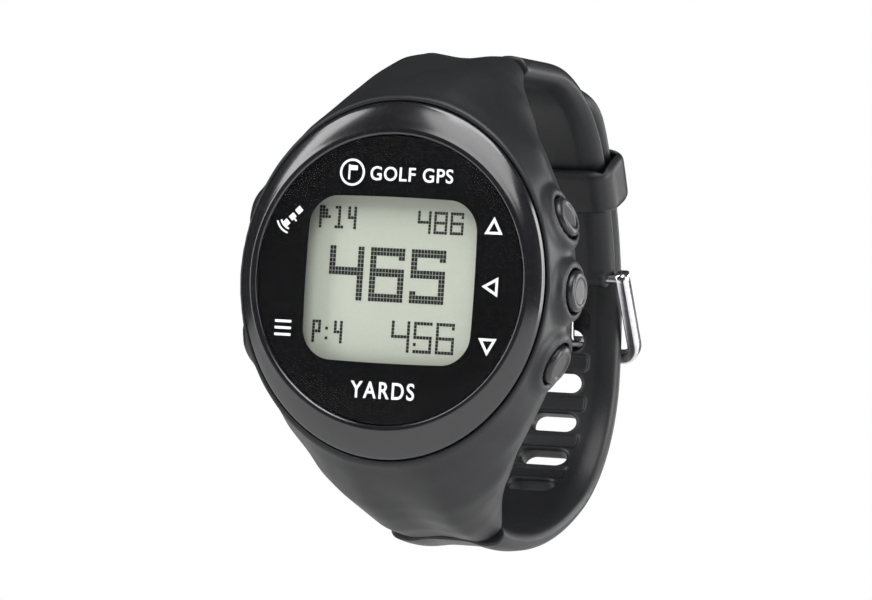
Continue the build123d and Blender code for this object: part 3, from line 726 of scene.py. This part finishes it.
def upper_field(s, h, x):
    """The upper half: section, and the eye round the buckle's bar, notched for its tongue."""
    ridge = np.clip((34.0 - s) / 18.0, 0, 1)
    band = soft_max(strap_section(h, x, ridge), -s, 0.25)
    band = np.maximum(band, s - UPPER_LENGTH)
    off = np.hypot(s - UPPER_LENGTH, h + STRAP_THICK / 2)
    eye = soft_max(off - STRAP_THICK / 2, np.abs(x) - 8.1, 0.8)
    band = soft_min(band, eye, 0.3)
    notch = np.minimum(off - 1.65, np.maximum(UPPER_LENGTH - s, np.abs(h + 1.35) - 3))
    band = soft_max(band, -np.maximum(notch, np.abs(x) - 3.1), 0.3)
    band = np.maximum(band, 0.75 - off)
    return np.minimum(band, knuckle_field(s, h, x))


# %% Both halves
STRAP_STEP = 0.30
for piece_name, field, lay, length, node in (
        ("strap_lower_half", lower_field, lay_lower, LOWER_LENGTH, "strap_lower"),
        ("strap_upper_half", upper_field, lay_upper, UPPER_LENGTH, "strap_upper")):
    points, faces = grow(field, (-4.6, -4.3, -9.9), (length + 2.4, 1.2, 9.9), STRAP_STEP)
    add_piece(piece_name, lay(*points.T), faces, "root", strap_rubber, [node])

# %% [markdown]
# ## The keeper
#
# A loose rubber loop that holds the tail down. It is a rounded box with a rounded opening, grown
# in the same way in the strap's own coordinates: along the back curve, out from it, and across.

# %% Keeper
KEEPER_ANGLE, KEEPER_HALF, KEEPER_STEP = 28.1, 3.8, 0.22
KEEPER_MIDDLE = -2.75                        # height of the loop's middle, where the halves meet


def keeper_field(s, h, x):
    """A loop: a rounded outer box, less the rounded opening that the strap passes through."""
    a = np.abs(x)
    outside = soft_max(np.abs(h - KEEPER_MIDDLE) - 4.40, a - 10.75, 3.4)
    outside = soft_max(outside, np.abs(s) - KEEPER_HALF, 1.5)
    opening = soft_max(np.abs(h - KEEPER_MIDDLE) - 3.06, a - 9.52, 0.5)
    return soft_max(outside, -opening, 0.5)


def lay_keeper(s, h, x):
    """h is measured out from the lower half's outer face, on the back curve's centre."""
    angle = np.radians(KEEPER_ANGLE) + s / TAIL_RADIUS
    return np.stack([x, BACK_CENTRE[0] + (TAIL_RADIUS + h) * np.cos(angle),
                     BACK_CENTRE[1] + (TAIL_RADIUS + h) * np.sin(angle)], 1)


points, faces = grow(keeper_field, (-4.4, -7.8, -11.6), (4.4, 2.3, 11.6), KEEPER_STEP)
add_piece("keeper_loop", lay_keeper(*points.T), faces, "keeper", strap_rubber, ["keeper"])

# %% [markdown]
# ## The bezel
#
# A hard gloss ring. Outside it is an oval and inside it is round, so it is wide at 12 and 6
# o'clock and narrow at 3 and 9. One profile is carried round: each of its points is a blend of the
# oval and the circle, with its own height, and the slope is slightly domed so that reflections
# curve across it.

# %% Bezel
BEZEL_HALF_WIDTH, BEZEL_HALF_HEIGHT = 22.65, 24.7
RIM_RADIUS = 20.95                           # the circle that the slope ends on
BEZEL_COUNT = 240


def bezel_points(profile):
    """Carries the profile round. An entry is (blend, widening, depth): blend 0 is on the oval and
    1 on the circle of the rim, widening moves it straight out or in, depth is its Y."""
    turn = np.linspace(0, 2 * np.pi, BEZEL_COUNT, endpoint=False)
    ray = np.stack([np.sin(turn), np.cos(turn)], 1)
    oval = 1 / np.sqrt((ray[:, 0] / BEZEL_HALF_WIDTH) ** 2 + (ray[:, 1] / BEZEL_HALF_HEIGHT) ** 2)
    blend, widening, depth = np.asarray(profile, float).T
    reach = oval[:, None] * (1 - blend) + RIM_RADIUS * blend + widening
    return np.stack([ray[:, :1] * reach, np.broadcast_to(depth, reach.shape), ray[:, 1:] * reach], -1)


dome = np.linspace(0, 1, 13)
slope = [(t, 0.0, -13.55 - 1.42 * t - 0.14 * np.sin(np.pi * t)) for t in dome[1:-1]]
bezel_profile = [(0, -0.02, -12.6), (0, 0.0, -12.75), (0, 0.0, -13.3), (0, -0.03, -13.42),
                 (0, -0.12, -13.52), *slope, (1, -0.02, -15.0), (1, -0.12, -15.03), (1, -0.62, -15.03),
                 (1, -0.72, -15.0), (1, -0.88, -14.86), (1, -0.90, -14.80), (1, -0.90, -13.2),
                 (1, -2.30, -13.2), (1, -2.32, -12.6)]
points = bezel_points(bezel_profile)
add_piece("bezel_oval", points.reshape(-1, 3), grid_faces(*points.shape[:2]), "root",
          bezel_gloss, ["bezel_ring"])

# %% [markdown]
# ## The glass and its printing
#
# The glass is clear. A black mask is printed on its back, with a cushion-shaped window for the
# display, and the white symbols are printed before the black. Looked at through the glass, the
# print seems to lie nearer than it does. Here the clear layer is made that much thinner and stops
# just in front of the print. The mask is a plate whose inner edge is the window's outline, wider
# at the back so that its walls stay hidden, and each symbol is a thin flat shape before it.

# %% Glass
glass = make_finish("clear_glass", (0.03, 0.03, 0.032), gloss=(0.06, 0.08), grain_scale=400, relief=0.0,
                    sparkle=(0.034, 0.034, 0.036), Alpha=0.05, IOR=1.5)
mask_black = make_finish("mask_black", (0.0022, 0.0022, 0.0025), gloss=(0.16, 0.22), grain_scale=900,
                         relief=0.0, sparkle=(0.003, 0.003, 0.0033), patches=60)
# White print, plus a faint Emission glow: painted light that keeps the symbols and words bright under any
# lamp.
print_with_painted_glow = make_finish("white_print_painted_glow", (0.82, 0.83, 0.84), gloss=(0.3, 0.4), grain_scale=6000, relief=0.001,
                  Emission_Color=(0.9, 0.92, 0.95, 1), Emission_Strength=0.35)
GLASS_COUNT = 160
glass_profile = [(0.0, -14.66), (12.0, -14.66), (19.9, -14.66), (19.98, -14.70), (20.0, -14.76),
                 (19.97, -14.80), (19.78, -14.98), (19.7, -15.0), (12.0, -15.0), (0.0, -15.0)]
points, faces = closed_turned(glass_profile, (0, 0, 0), (0, 1, 0), (1, 0, 0), GLASS_COUNT)
add_piece("glass_disc", points, faces, "root", glass, ["lens"])


# %% Mask
def cushion(half_width, half_height, bow, corner, count):
    """The window's outline: four sides that bow out a little, with rounded corners.

    A rounded rectangle is sampled at even steps along it, and each side is pushed out by bow times
    one less the square of the place along it.
    """
    outline = rounded_profile([(half_width, half_height), (-half_width, half_height),
                               (-half_width, -half_height), (half_width, -half_height)], corner, 24)
    fine = np.concatenate([outline, outline[:1]])
    run = np.concatenate([[0], np.cumsum(np.linalg.norm(np.diff(fine, axis=0), axis=1))])
    even = np.linspace(0, run[-1], count, endpoint=False)
    x, z = np.interp(even, run, fine[:, 0]), np.interp(even, run, fine[:, 1])
    u, v = x / half_width, z / half_height
    return np.stack([x + bow * np.sign(x) * np.abs(u) ** 6 * (1 - v ** 2),
                     z + bow * np.sign(z) * np.abs(v) ** 6 * (1 - u ** 2)], 1)


MASK_FRONT, MASK_BACK, MASK_RADIUS, MASK_COUNT = -14.50, -13.51, 19.8, 240
window = cushion(12.45, 11.2, 0.25, 4.0, MASK_COUNT)
angle = np.arctan2(window[:, 1], window[:, 0])
edge = MASK_RADIUS * np.stack([np.cos(angle), np.sin(angle)], 1)
loops = [np.stack([p[:, 0], np.full(MASK_COUNT, y), p[:, 1]], 1)
         for p, y in ((window, MASK_FRONT), (edge, MASK_FRONT), (edge, MASK_BACK),
                      (window * 1.08, MASK_BACK), (window * 1.015, MASK_FRONT + 0.2))]
add_piece("glass_mask", np.concatenate(loops), grid_faces(len(loops), MASK_COUNT), "root",
          mask_black, smooth=False)

# %% [markdown]
# ## The display's figures
#
# A dot-matrix display shows figures as separate little cells with hairline gaps between them. Each
# figure below is drawn as rows of text, a hash for a dark cell. Every dark cell becomes a thin
# plate just in front of the display, so the figures throw a real, very small shadow.

# %% Figures
BIG = {"4": ["##.......##"] * 5 + ["###########"] * 2 + [".........##"] * 6,
       "6": ["###########"] * 2 + ["##.......##"] + ["##........."] * 2 + ["###########"] * 2
       + ["##.......##"] * 4 + ["###########"] * 2,
       "5": ["###########"] * 2 + ["##.......##"] + ["##........."] * 2 + ["###########"] * 2
       + [".........##"] * 3 + ["##.......##"] + ["###########"] * 2}
MIDDLE = {"4": ["#....#"] * 4 + ["######"] + [".....#"] * 4,
          "5": ["######", "#.....", "#.....", "#.....", "######", ".....#", "#....#", ".....#", "######"],
          "6": ["######", "#....#", "#.....", "#.....", "######", "#....#", "#....#", "#....#", "######"]}
SMALL = {"4": ["#...#"] * 3 + ["#####"] + ["....#"] * 3,
         "8": ["#####", "#...#", "#...#", "#####", "#...#", "#...#", "#####"],
         "6": ["#####", "#...#", "#....", "#####", "#...#", "#...#", "#####"]}
TINY = {"flag": ["##..", "###.", "###.", "####", "#...", "#...", "#..."],
        "1": ["##.", ".#.", ".#.", ".#.", ".#.", ".#.", "###"],
        "4": ["#.#", "#.#", "#.#", "###", "..#", "..#", "..#"],
        "P": ["###", "#.#", "#.#", "###", "#..", "#..", "#.."],
        "dots": [".", ".", "#", ".", ".", "#", "."]}
# each line: its figures with their left edges, then its top edge, column pitch and row pitch
LINES = [([(BIG["4"], -10.1), (BIG["6"], -3.94), (BIG["5"], 2.22)], 4.55, 0.474, 0.577),
         ([(TINY["flag"], -12.1), (TINY["1"], -9.7), (TINY["4"], -7.75)], 10.0, 0.45, 0.45),
         ([(SMALL["4"], 2.8), (SMALL["8"], 5.25), (SMALL["6"], 7.7)], 9.85, 0.41, 0.45),
         ([(TINY["P"], -12.1), (TINY["dots"], -10.1), (TINY["4"], -8.8)], -5.85, 0.45, 0.45),
         ([(MIDDLE["4"], -0.1), (MIDDLE["5"], 3.25), (MIDDLE["6"], 6.6)], -5.4, 0.47, 0.485)]
CELL_WIDTH, CELL_HEIGHT = 0.86, 0.88         # shares of the pitches that a cell fills
CELL_FRONT, CELL_THICK = 0.03, 0.029         # the cells stand just before the display
CUBE_FACES = np.array([(0, 1, 3, 2), (4, 6, 7, 5), (0, 4, 5, 1), (2, 3, 7, 6), (0, 2, 6, 4), (1, 5, 7, 3)])
display_y = node_box("lcd_panel")[0][1]


def cell_corners(rows, left, top, column_pitch, row_pitch):
    """Lowest corners and sizes of a figure's dark cells, as arrays."""
    dark = np.argwhere(np.array([[c == "#" for c in row] for row in rows]))
    low = np.stack([left + dark[:, 1] * column_pitch, np.full(len(dark), display_y - CELL_FRONT),
                    top - (dark[:, 0] + 1) * row_pitch], 1)
    size = [column_pitch * CELL_WIDTH, CELL_THICK, row_pitch * CELL_HEIGHT]
    return low, np.broadcast_to(size, low.shape)


cells = [cell_corners(rows, left, *rest) for figures, *rest in LINES for rows, left in figures]
lows, sizes = (np.concatenate(part) for part in zip(*cells))
points = (lows[:, None] + CORNERS[None] * sizes[:, None]).reshape(-1, 3)
faces = (CUBE_FACES[None] + 8 * np.arange(len(lows))[:, None, None]).reshape(-1, 4)
cell_dark = make_finish("display_cells", (0.006, 0.0065, 0.006), gloss=(0.35, 0.5), relief=0.0,
                        patches=900)
add_piece("display_figures", points, faces, "root", cell_dark, smooth=False)

# %% [markdown]
# ## The printed symbols
#
# Beside each button is a small white symbol for what it does: triangles for up, back and down,
# three bars for the menu and a satellite for the receiver. A flag in a ring and plain words stand
# above and below the display. Symbols are drawn as strokes of one width along short lines; the
# words use Blender's own typeface, turned into a mesh.

# %% Symbols
SYMBOL_FRONT, SYMBOL_BACK = -14.58, -14.52


def stroke(line, width, closed=False):
    """Corners of a stroke's outline: each point of the line moved half a width to either side,
    along the bisector of its two runs, far enough that the runs keep their width."""
    line = np.asarray(line, float)
    before, after = line - np.roll(line, 1, 0), np.roll(line, -1, 0) - line
    if not closed:
        before[0], after[-1] = after[0], before[-1]
    before /= np.linalg.norm(before, axis=1, keepdims=True)
    after /= np.linalg.norm(after, axis=1, keepdims=True)
    bisector = before + after
    bisector /= np.linalg.norm(bisector, axis=1, keepdims=True)
    across = np.stack([-bisector[:, 1], bisector[:, 0]], 1)
    reach = width / 2 / np.maximum((bisector * before).sum(1), 0.35)
    return line + across * reach[:, None], line - across * reach[:, None]


def stroke_plate(line, width, closed=False):
    """A stroke as a thin closed plate: its two edges at the front, then at the back, as four rows
    carried along the line."""
    one, other = stroke(line, width, closed)
    rows = [np.stack([p[:, 0], np.full(len(p), y), p[:, 1]], 1)
            for p, y in ((one, SYMBOL_FRONT), (other, SYMBOL_FRONT),
                         (other, SYMBOL_BACK), (one, SYMBOL_BACK))]
    grid = np.stack(rows, 1)
    faces = grid_faces(len(grid), 4, close_rows=closed)
    if not closed:
        last = 4 * (len(grid) - 1)
        faces = np.concatenate([faces, [[3, 2, 1, 0], [last, last + 1, last + 2, last + 3]]])
    return grid.reshape(-1, 3), faces


def arc(cx, cz, radius, start, end, count=20):
    """Points on an arc, by angle in degrees from +X towards +Z."""
    turn = np.radians(np.linspace(start, end, count))
    return np.stack([cx + radius * np.cos(turn), cz + radius * np.sin(turn)], 1)


def moved(line, x, z, turn=0.0):
    """A line turned by an angle in degrees and moved to a place."""
    c, s = np.cos(np.radians(turn)), np.sin(np.radians(turn))
    return np.asarray(line, float) @ np.array([[c, s], [-s, c]]) + (x, z)


TRIANGLE, LINE_WIDTH = [(-1.05, -0.85), (1.05, -0.85), (0, 1.0)], 0.36
SATELLITE, FLAG = (-15.2, 8.1), (-6.6, 14.6)
# each stroke: its line, its width, and whether it closes
strokes = [(moved(TRIANGLE, x, z, turn), LINE_WIDTH, True)
           for x, z, turn in ((15.1, 8.0, 0), (15.2, -0.2, 90), (15.2, -8.3, 180))]
strokes += [([(-16.85, -7.3 + d), (-14.4, -7.3 + d)], LINE_WIDTH, False) for d in (0.92, 0.0, -0.92)]
strokes += [(moved(line, *SATELLITE, 45), width, False)
            for line, width in (([(-0.45, 0), (0.45, 0)], 0.75), ([(-1.75, 0), (-0.85, 0)], 0.85),
                                ([(0.85, 0), (1.75, 0)], 0.85), ([(0, -0.38), (0, -0.85)], 0.2))]
strokes += [(arc(*SATELLITE, radius, 196, 254, 12), 0.24, False) for radius in (1.75, 2.35)]
strokes += [(moved(arc(0, 0, 1.72, 0, 351, 40), *FLAG), 0.30, True),
            (moved([(-0.45, -1.0), (-0.45, 1.05)], *FLAG), 0.26, False),
            (moved([(-0.35, 0.62), (0.75, 0.62)], *FLAG), 0.66, False)]
plates, start = [], 0
for line, width, closed in strokes:
    plate, faces = stroke_plate(line, width, closed)
    plates.append((plate, faces + start))
    start += len(plate)
points, faces = (np.concatenate(part) for part in zip(*plates))
add_piece("printed_symbols", points, faces.tolist(), "root", print_with_painted_glow, smooth=False)


def add_words(name, words, x, z, height, width, spacing=1.1):
    """Words as a thin mesh, scaled to a width and height and centred on a place of the mask."""
    curve = bpy.data.curves.new(name, "FONT")
    curve.body, curve.space_character = words, spacing
    curve.offset, curve.extrude = 0.012, 0.01    # a little bolder, and given a thickness
    holder = new_object(name, curve)
    bpy.context.view_layer.update()
    evaluated = holder.evaluated_get(bpy.context.evaluated_depsgraph_get())
    mesh = bpy.data.meshes.new_from_object(evaluated)
    bpy.data.objects.remove(holder)
    flat = np.empty(len(mesh.vertices) * 3)
    mesh.vertices.foreach_get("co", flat)
    flat = flat.reshape(-1, 3)
    low, high = flat.min(0), flat.max(0)
    unit = (flat - (low + high) / 2) / (high - low)
    thickness = SYMBOL_BACK - SYMBOL_FRONT
    depth = (SYMBOL_FRONT + SYMBOL_BACK) / 2 - unit[:, 2] * thickness
    placed = np.stack([x + unit[:, 0] * width, depth, z + unit[:, 1] * height], 1)
    add_piece(name, placed, [list(p.vertices) for p in mesh.polygons], "root", print_with_painted_glow, smooth=False)


add_words("printed_title", "GOLF GPS", 2.35, 14.6, 1.95, 12.4)
add_words("printed_unit", "YARDS", 0.0, -15.2, 2.35, 9.6, spacing=1.2)

# %% [markdown]
# ## The buttons
#
# Five turned caps on stems. A cap's edge is well rounded, and its face has a shallow round dish
# inside a raised rim, which the fingertip finds. Each is one closed profile spun round the
# button's own axis, and it slides with its own body.

# %% Buttons
# (radius, place along the axis), from the stem's inner end, past the clip's groove, to the dish
BUTTON_PROFILE = [(0.0, 15.96), (0.62, 15.96), (0.8, 16.06), (0.8, 16.27), (0.55, 16.29), (0.55, 16.61),
                  (0.8, 16.63), (0.8, 23.4), (2.5, 23.45), (2.75, 23.52), (2.85, 23.7), (2.85, 24.9),
                  (2.82, 25.12), (2.73, 25.32), (2.58, 25.48), (2.38, 25.58), (2.15, 25.62), (2.0, 25.61),
                  (1.9, 25.57), (1.8, 25.47), (1.68, 25.43), (1.3, 25.43), (0.8, 25.43), (0.0, 25.43)]
for name, turn in BUTTON_TURNS.items():
    points, faces = closed_turned(BUTTON_PROFILE, (0, button_y, 0), button_axis(turn), (0, 1, 0), 72)
    add_piece(f"{name}_cap", points, faces, name, button_gloss, [name])

# %% [markdown]
# ## The buckle
#
# Bent and polished steel. The frame is a bar bent into a wide U: two arms that turn on the strap's
# bar and a cross bar that the tail passes under. It is one rounded section carried along the U.
# The tongue is a flat strip wrapped round the bar that comes up through a slot and rests on the
# cross bar.

# %% Buckle frame
BUCKLE_BAR, CROSS_BAR = np.array([44.404, 3.611]), np.array([51.444, -7.313])


def swept(path, section, sides, widths=1.0):
    """Carries a section of (side, height) along a path of 3-D points, and closes both ends.

    sides is the sideways direction at each point and widths scales it there. Height is square to
    the sideways direction and to the path. Returns the points and a list of faces.
    """
    run = np.gradient(path, axis=0)
    run /= np.linalg.norm(run, axis=1, keepdims=True)
    rise = np.cross(run, sides)
    across = section[None, :, :1] * np.broadcast_to(widths, len(path))[:, None, None] * sides[:, None]
    points = (path[:, None] + across + section[None, :, 1:] * rise[:, None]).reshape(-1, 3)
    count = len(section)
    faces = grid_faces(len(path), count, close_rows=False).tolist()
    return points, faces + [list(range(count))[::-1], [len(points) - count + k for k in range(count)]]


arm_run = CROSS_BAR - BUCKLE_BAR
arm_length = np.linalg.norm(arm_run)
arm_way = arm_run / arm_length
FRAME_HALF = 10.45


def frame_point(across, along):
    """A point of the buckle, from its place across the strap and along the arms."""
    return np.array([across, *(BUCKLE_BAR + arm_way * along)])


CORNER, ARM_START = 2.2, -1.0                # the bend's radius, and how far an arm passes the bar
turn = np.linspace(0, np.pi / 2, 10)
arm = np.linspace(ARM_START, arm_length - CORNER, 12)[:-1]
bend_across = FRAME_HALF - CORNER + CORNER * np.cos(turn)
bend_along = arm_length - CORNER + CORNER * np.sin(turn)
cross = np.linspace(FRAME_HALF - CORNER, -FRAME_HALF + CORNER, 12)[1:-1]
half_path = np.column_stack([np.append(np.full(len(arm), FRAME_HALF), bend_across),
                             np.append(arm, bend_along)])
flat_path = np.concatenate([half_path, np.column_stack([cross, np.full(len(cross), arm_length)]),
                            half_path[::-1] * (-1, 1)])
path = np.array([frame_point(a, t) for a, t in flat_path])
run = np.gradient(flat_path, axis=0)
run /= np.linalg.norm(run, axis=1, keepdims=True)
sides = np.array([frame_point(*n) - frame_point(0, 0) for n in np.stack([-run[:, 1], run[:, 0]], 1)])
section = rounded_profile([(0.85, 1.0), (-0.85, 1.0), (-0.85, -1.0), (0.85, -1.0)], 0.45, 5)
points, faces = swept(path, section, sides)
add_piece("buckle_frame_bent", points, faces, "buckle", steel, ["buckle_frame"])

# %% Buckle tongue
TONGUE_HALF, TONGUE_THICK_HALF, TIP_LENGTH, TIP_NARROWING = 2.75, 0.44, 1.2, 0.95
over = TAIL_RADIUS + 0.1 + 2.1 + 0.05 + 0.45   # gap, cross bar, gap and half the strip's thickness


def on_back(radius, angle):
    """A point of the side view on the back curve, as (Y, Z)."""
    return BACK_CENTRE + radius * np.array([np.cos(np.radians(angle)), np.sin(np.radians(angle))])


route = np.array([BUCKLE_BAR, on_back(58.85, 5.5), on_back(over + 0.1, 5.2), on_back(over, 1.5)])
bent = rounded_profile(route, [0.0001, 0.62, 0.62, 0.0001], 9)[8:-8]
path = np.column_stack([np.zeros(len(bent)), bent])
way = (path[-1] - path[-2]) / np.linalg.norm(path[-1] - path[-2])
tip = np.linspace(0, 1, 6)
path = np.concatenate([path[:-1], path[-1] + (tip[:, None] - 1) * TIP_LENGTH * way])
half_width = np.concatenate([np.full(3, TONGUE_HALF - 0.05), np.full(len(bent) - 4, TONGUE_HALF),
                             TONGUE_HALF - TIP_NARROWING * (1 - np.sqrt(1 - tip ** 2))])
section = rounded_profile([(1, TONGUE_THICK_HALF), (-1, TONGUE_THICK_HALF), (-1, -TONGUE_THICK_HALF),
                           (1, -TONGUE_THICK_HALF)], 0.16, 4)
strip, strip_faces = swept(path, section, np.broadcast_to([1.0, 0.0, 0.0], path.shape), half_width)
barrel_profile = [(0.78, -2.75), (1.12, -2.75), (1.28, -2.6), (1.28, 2.6), (1.12, 2.75), (0.78, 2.75)]
barrel, rows, count = turned(barrel_profile, (0, *BUCKLE_BAR), (1, 0, 0), (0, 1, 0), 48)
add_piece("buckle_tongue_strip", np.concatenate([strip, barrel]),
          strip_faces + grid_faces(rows, count, start=len(strip)).tolist(), "tongue", steel,
          ["buckle_tongue"])

# %% [markdown]
# ## The pieces that keep their CAD shape
#
# The back, its screws and contacts, and everything inside are plain machined or moulded shapes
# that the CAD already has right. They keep their meshes and only get finishes.

# %% Finishes for the CAD pieces
def rubber_part(name, colour, relief):
    """A dull seal or gasket."""
    return make_finish(name, colour, gloss=(0.5, 0.6), relief=relief)


def metal(name, colour, gloss, scale, relief, texture="grain"):
    """A bare metal, brushed or plain."""
    return make_finish(name, colour, gloss=gloss, grain_scale=scale, relief=relief, texture=texture,
                       Metallic=1.0)


gold = metal("gold_plate", (0.83, 0.60, 0.27), (0.14, 0.26), 3500, 0.002)
bar_steel = metal("bar_steel", (0.48, 0.48, 0.50), (0.2, 0.3), 3000, 0.002, "brushing")
plain_finishes = {
    "lens_gasket": make_finish("gasket_rubber", (0.012, 0.012, 0.012), gloss=(0.5, 0.65), relief=0.004),
    "lcd_holder": make_finish("holder_plastic", (0.006, 0.006, 0.006), gloss=(0.4, 0.55), relief=0.004),
    "lcd_panel": make_finish("display_face", (0.50, 0.535, 0.455), gloss=(0.45, 0.6), relief=0.004,
                             sparkle=(0.56, 0.595, 0.51), grain_scale=3600, patches=200),
    "contact_strips": make_finish("strip_rubber", (0.55, 0.50, 0.42), gloss=(0.5, 0.6), relief=0.004,
                                  sparkle=(0.08, 0.07, 0.07), grain_scale=2500, texture="brushing"),
    "main_board": make_finish("board_green", (0.012, 0.095, 0.040), gloss=(0.25, 0.35), relief=0.006,
                              sparkle=(0.02, 0.14, 0.06), grain_scale=2200),
    "board_chips": make_finish("chip_black", (0.014, 0.014, 0.015), gloss=(0.4, 0.55), relief=0.006,
                               grain_scale=6000),
    "gps_antenna": make_finish("antenna_ceramic", (0.62, 0.55, 0.42), gloss=(0.4, 0.55), relief=0.006,
                               grain_scale=4500),
    "battery": metal("battery_wrap", (0.55, 0.56, 0.58), (0.22, 0.35), 900, 0.02),
    "button_switches": metal("switch_metal", (0.60, 0.58, 0.54), (0.25, 0.4), 3000, 0.003, "brushing"),
    "button_seals": rubber_part("seal_rubber", (0.016, 0.016, 0.017), 0.006),
    "caseback": make_finish("caseback_plastic", (0.020, 0.020, 0.022), gloss=(0.30, 0.42), relief=0.006,
                            grain_scale=3500),
    "caseback_gasket": rubber_part("back_seal_rubber", (0.030, 0.010, 0.008), 0.005),
    "caseback_screws": metal("screw_steel", (0.50, 0.50, 0.52), (0.2, 0.32), 4000, 0.003, "brushing"),
    "charge_contacts": gold, "contact_pins": gold, "lug_bars": bar_steel, "buckle_bar": steel,
    **{f"{name}_clip": bar_steel for name in BUTTON_TURNS}}
for name, finish in plain_finishes.items():
    for place in nodes[name].material_slots:
        place.material = finish
    if not nodes[name].material_slots:
        nodes[name].data.materials.append(finish)
print(len(plain_finishes), "CAD pieces have their finishes")

# %% [markdown]
# ## The springs
#
# A button's spring has to shorten when the button goes in. Each spring is a copy of its CAD coil,
# with its loose triangles merged.

# %% Springs
SAME_POINT = 1e-7                            # metres
spring_steel = metal("spring_wire", (0.45, 0.45, 0.47), (0.18, 0.3), 5000, 0.002)
for name, turn in BUTTON_TURNS.items():
    coil = nodes[f"{name}_spring"].data.copy()
    recalculate(coil, SAME_POINT)
    coil.materials.clear()
    coil.materials.append(spring_steel)
    coil.polygons.foreach_set("use_smooth", np.full(len(coil.polygons), True))
    spring = new_object(f"{name}_coil", coil)
    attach(spring, "root")
    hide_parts(f"{name}_spring")
    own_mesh(spring)
print(len(BUTTON_TURNS), "springs flatten with their buttons")

# %% [markdown]
# ## Light and surroundings
#
# Black pieces show their shape only by what they reflect. So the watch stands before a white
# sweep, but in a dim room, with five large soft lamps: a tall panel on the right that draws the
# long highlights down the bezel and strap, tall ones on the left and behind, and two wide ones
# above, over the case and before the glass. If the whole room
# were white, every black surface would turn grey. The world is therefore white where the camera
# looks past the watch and dim in what the watch reflects.

# %% Lamps
def add_lamp(name, place, aim, width, height, power):
    """A soft rectangular lamp at a place, turned to face a point; sizes in millimetres."""
    data = bpy.data.lights.new(name, "AREA")
    data.shape = "RECTANGLE"
    data.size, data.size_y = width * MM, height * MM
    data.energy = power
    lamp = new_object(name, data)
    lamp.location = Vector(place) * MM
    lamp.rotation_euler = ((Vector(aim) - Vector(place)) * MM).to_track_quat("-Z", "Y").to_euler()


WATCH_MIDDLE = (0, 15, 0)
add_lamp("right_panel", (420, 20, 90), WATCH_MIDDLE, 200, 380, 2.0)
add_lamp("left_panel", (-320, -180, 120), WATCH_MIDDLE, 120, 400, 1.0)
add_lamp("top_panel", (60, -160, 400), WATCH_MIDDLE, 300, 200, 1.5)
add_lamp("front_top_panel", (40, -330, 300), WATCH_MIDDLE, 330, 190, 1.0)
add_lamp("back_panel", (260, 330, 60), WATCH_MIDDLE, 160, 340, 1.0)

ROOM_GREY = 0.05
world = bpy.data.worlds.new("white_room")
world.use_nodes = True
tree = world.node_tree
background = tree.nodes["Background"]
light_path = tree.nodes.new("ShaderNodeLightPath")
brightness = map_range(tree, light_path.outputs["Is Camera Ray"], 0.0, 1.0, ROOM_GREY, 1.0)
tree.links.new(brightness, background.inputs["Strength"])
background.inputs["Color"].default_value = (1.0, 1.0, 1.0, 1)
scene.world = world
scene.view_settings.view_transform = "Standard"

# %% Floor
FLOOR_HEIGHT, FLOOR_HALF, FLOOR_COUNT = -62.0, 400.0, 9
side_run = np.linspace(-FLOOR_HALF, FLOOR_HALF, FLOOR_COUNT)
floor_x, floor_y = np.meshgrid(side_run, side_run, indexing="ij")
points = np.stack([floor_x, floor_y, np.full(floor_x.shape, FLOOR_HEIGHT)], -1).reshape(-1, 3)
faces = grid_faces(FLOOR_COUNT, FLOOR_COUNT, False, False)[:, ::-1]
floor_mesh = bpy.data.meshes.new("floor")
floor_mesh.from_pydata((points * MM).tolist(), [], faces.tolist())
floor_mesh.materials.append(make_finish("pale_floor", (0.86, 0.86, 0.86), gloss=(0.6, 0.8), relief=0.0,
                                        sparkle=(0.88, 0.88, 0.88), patches=8))
floor = new_object("floor", floor_mesh)
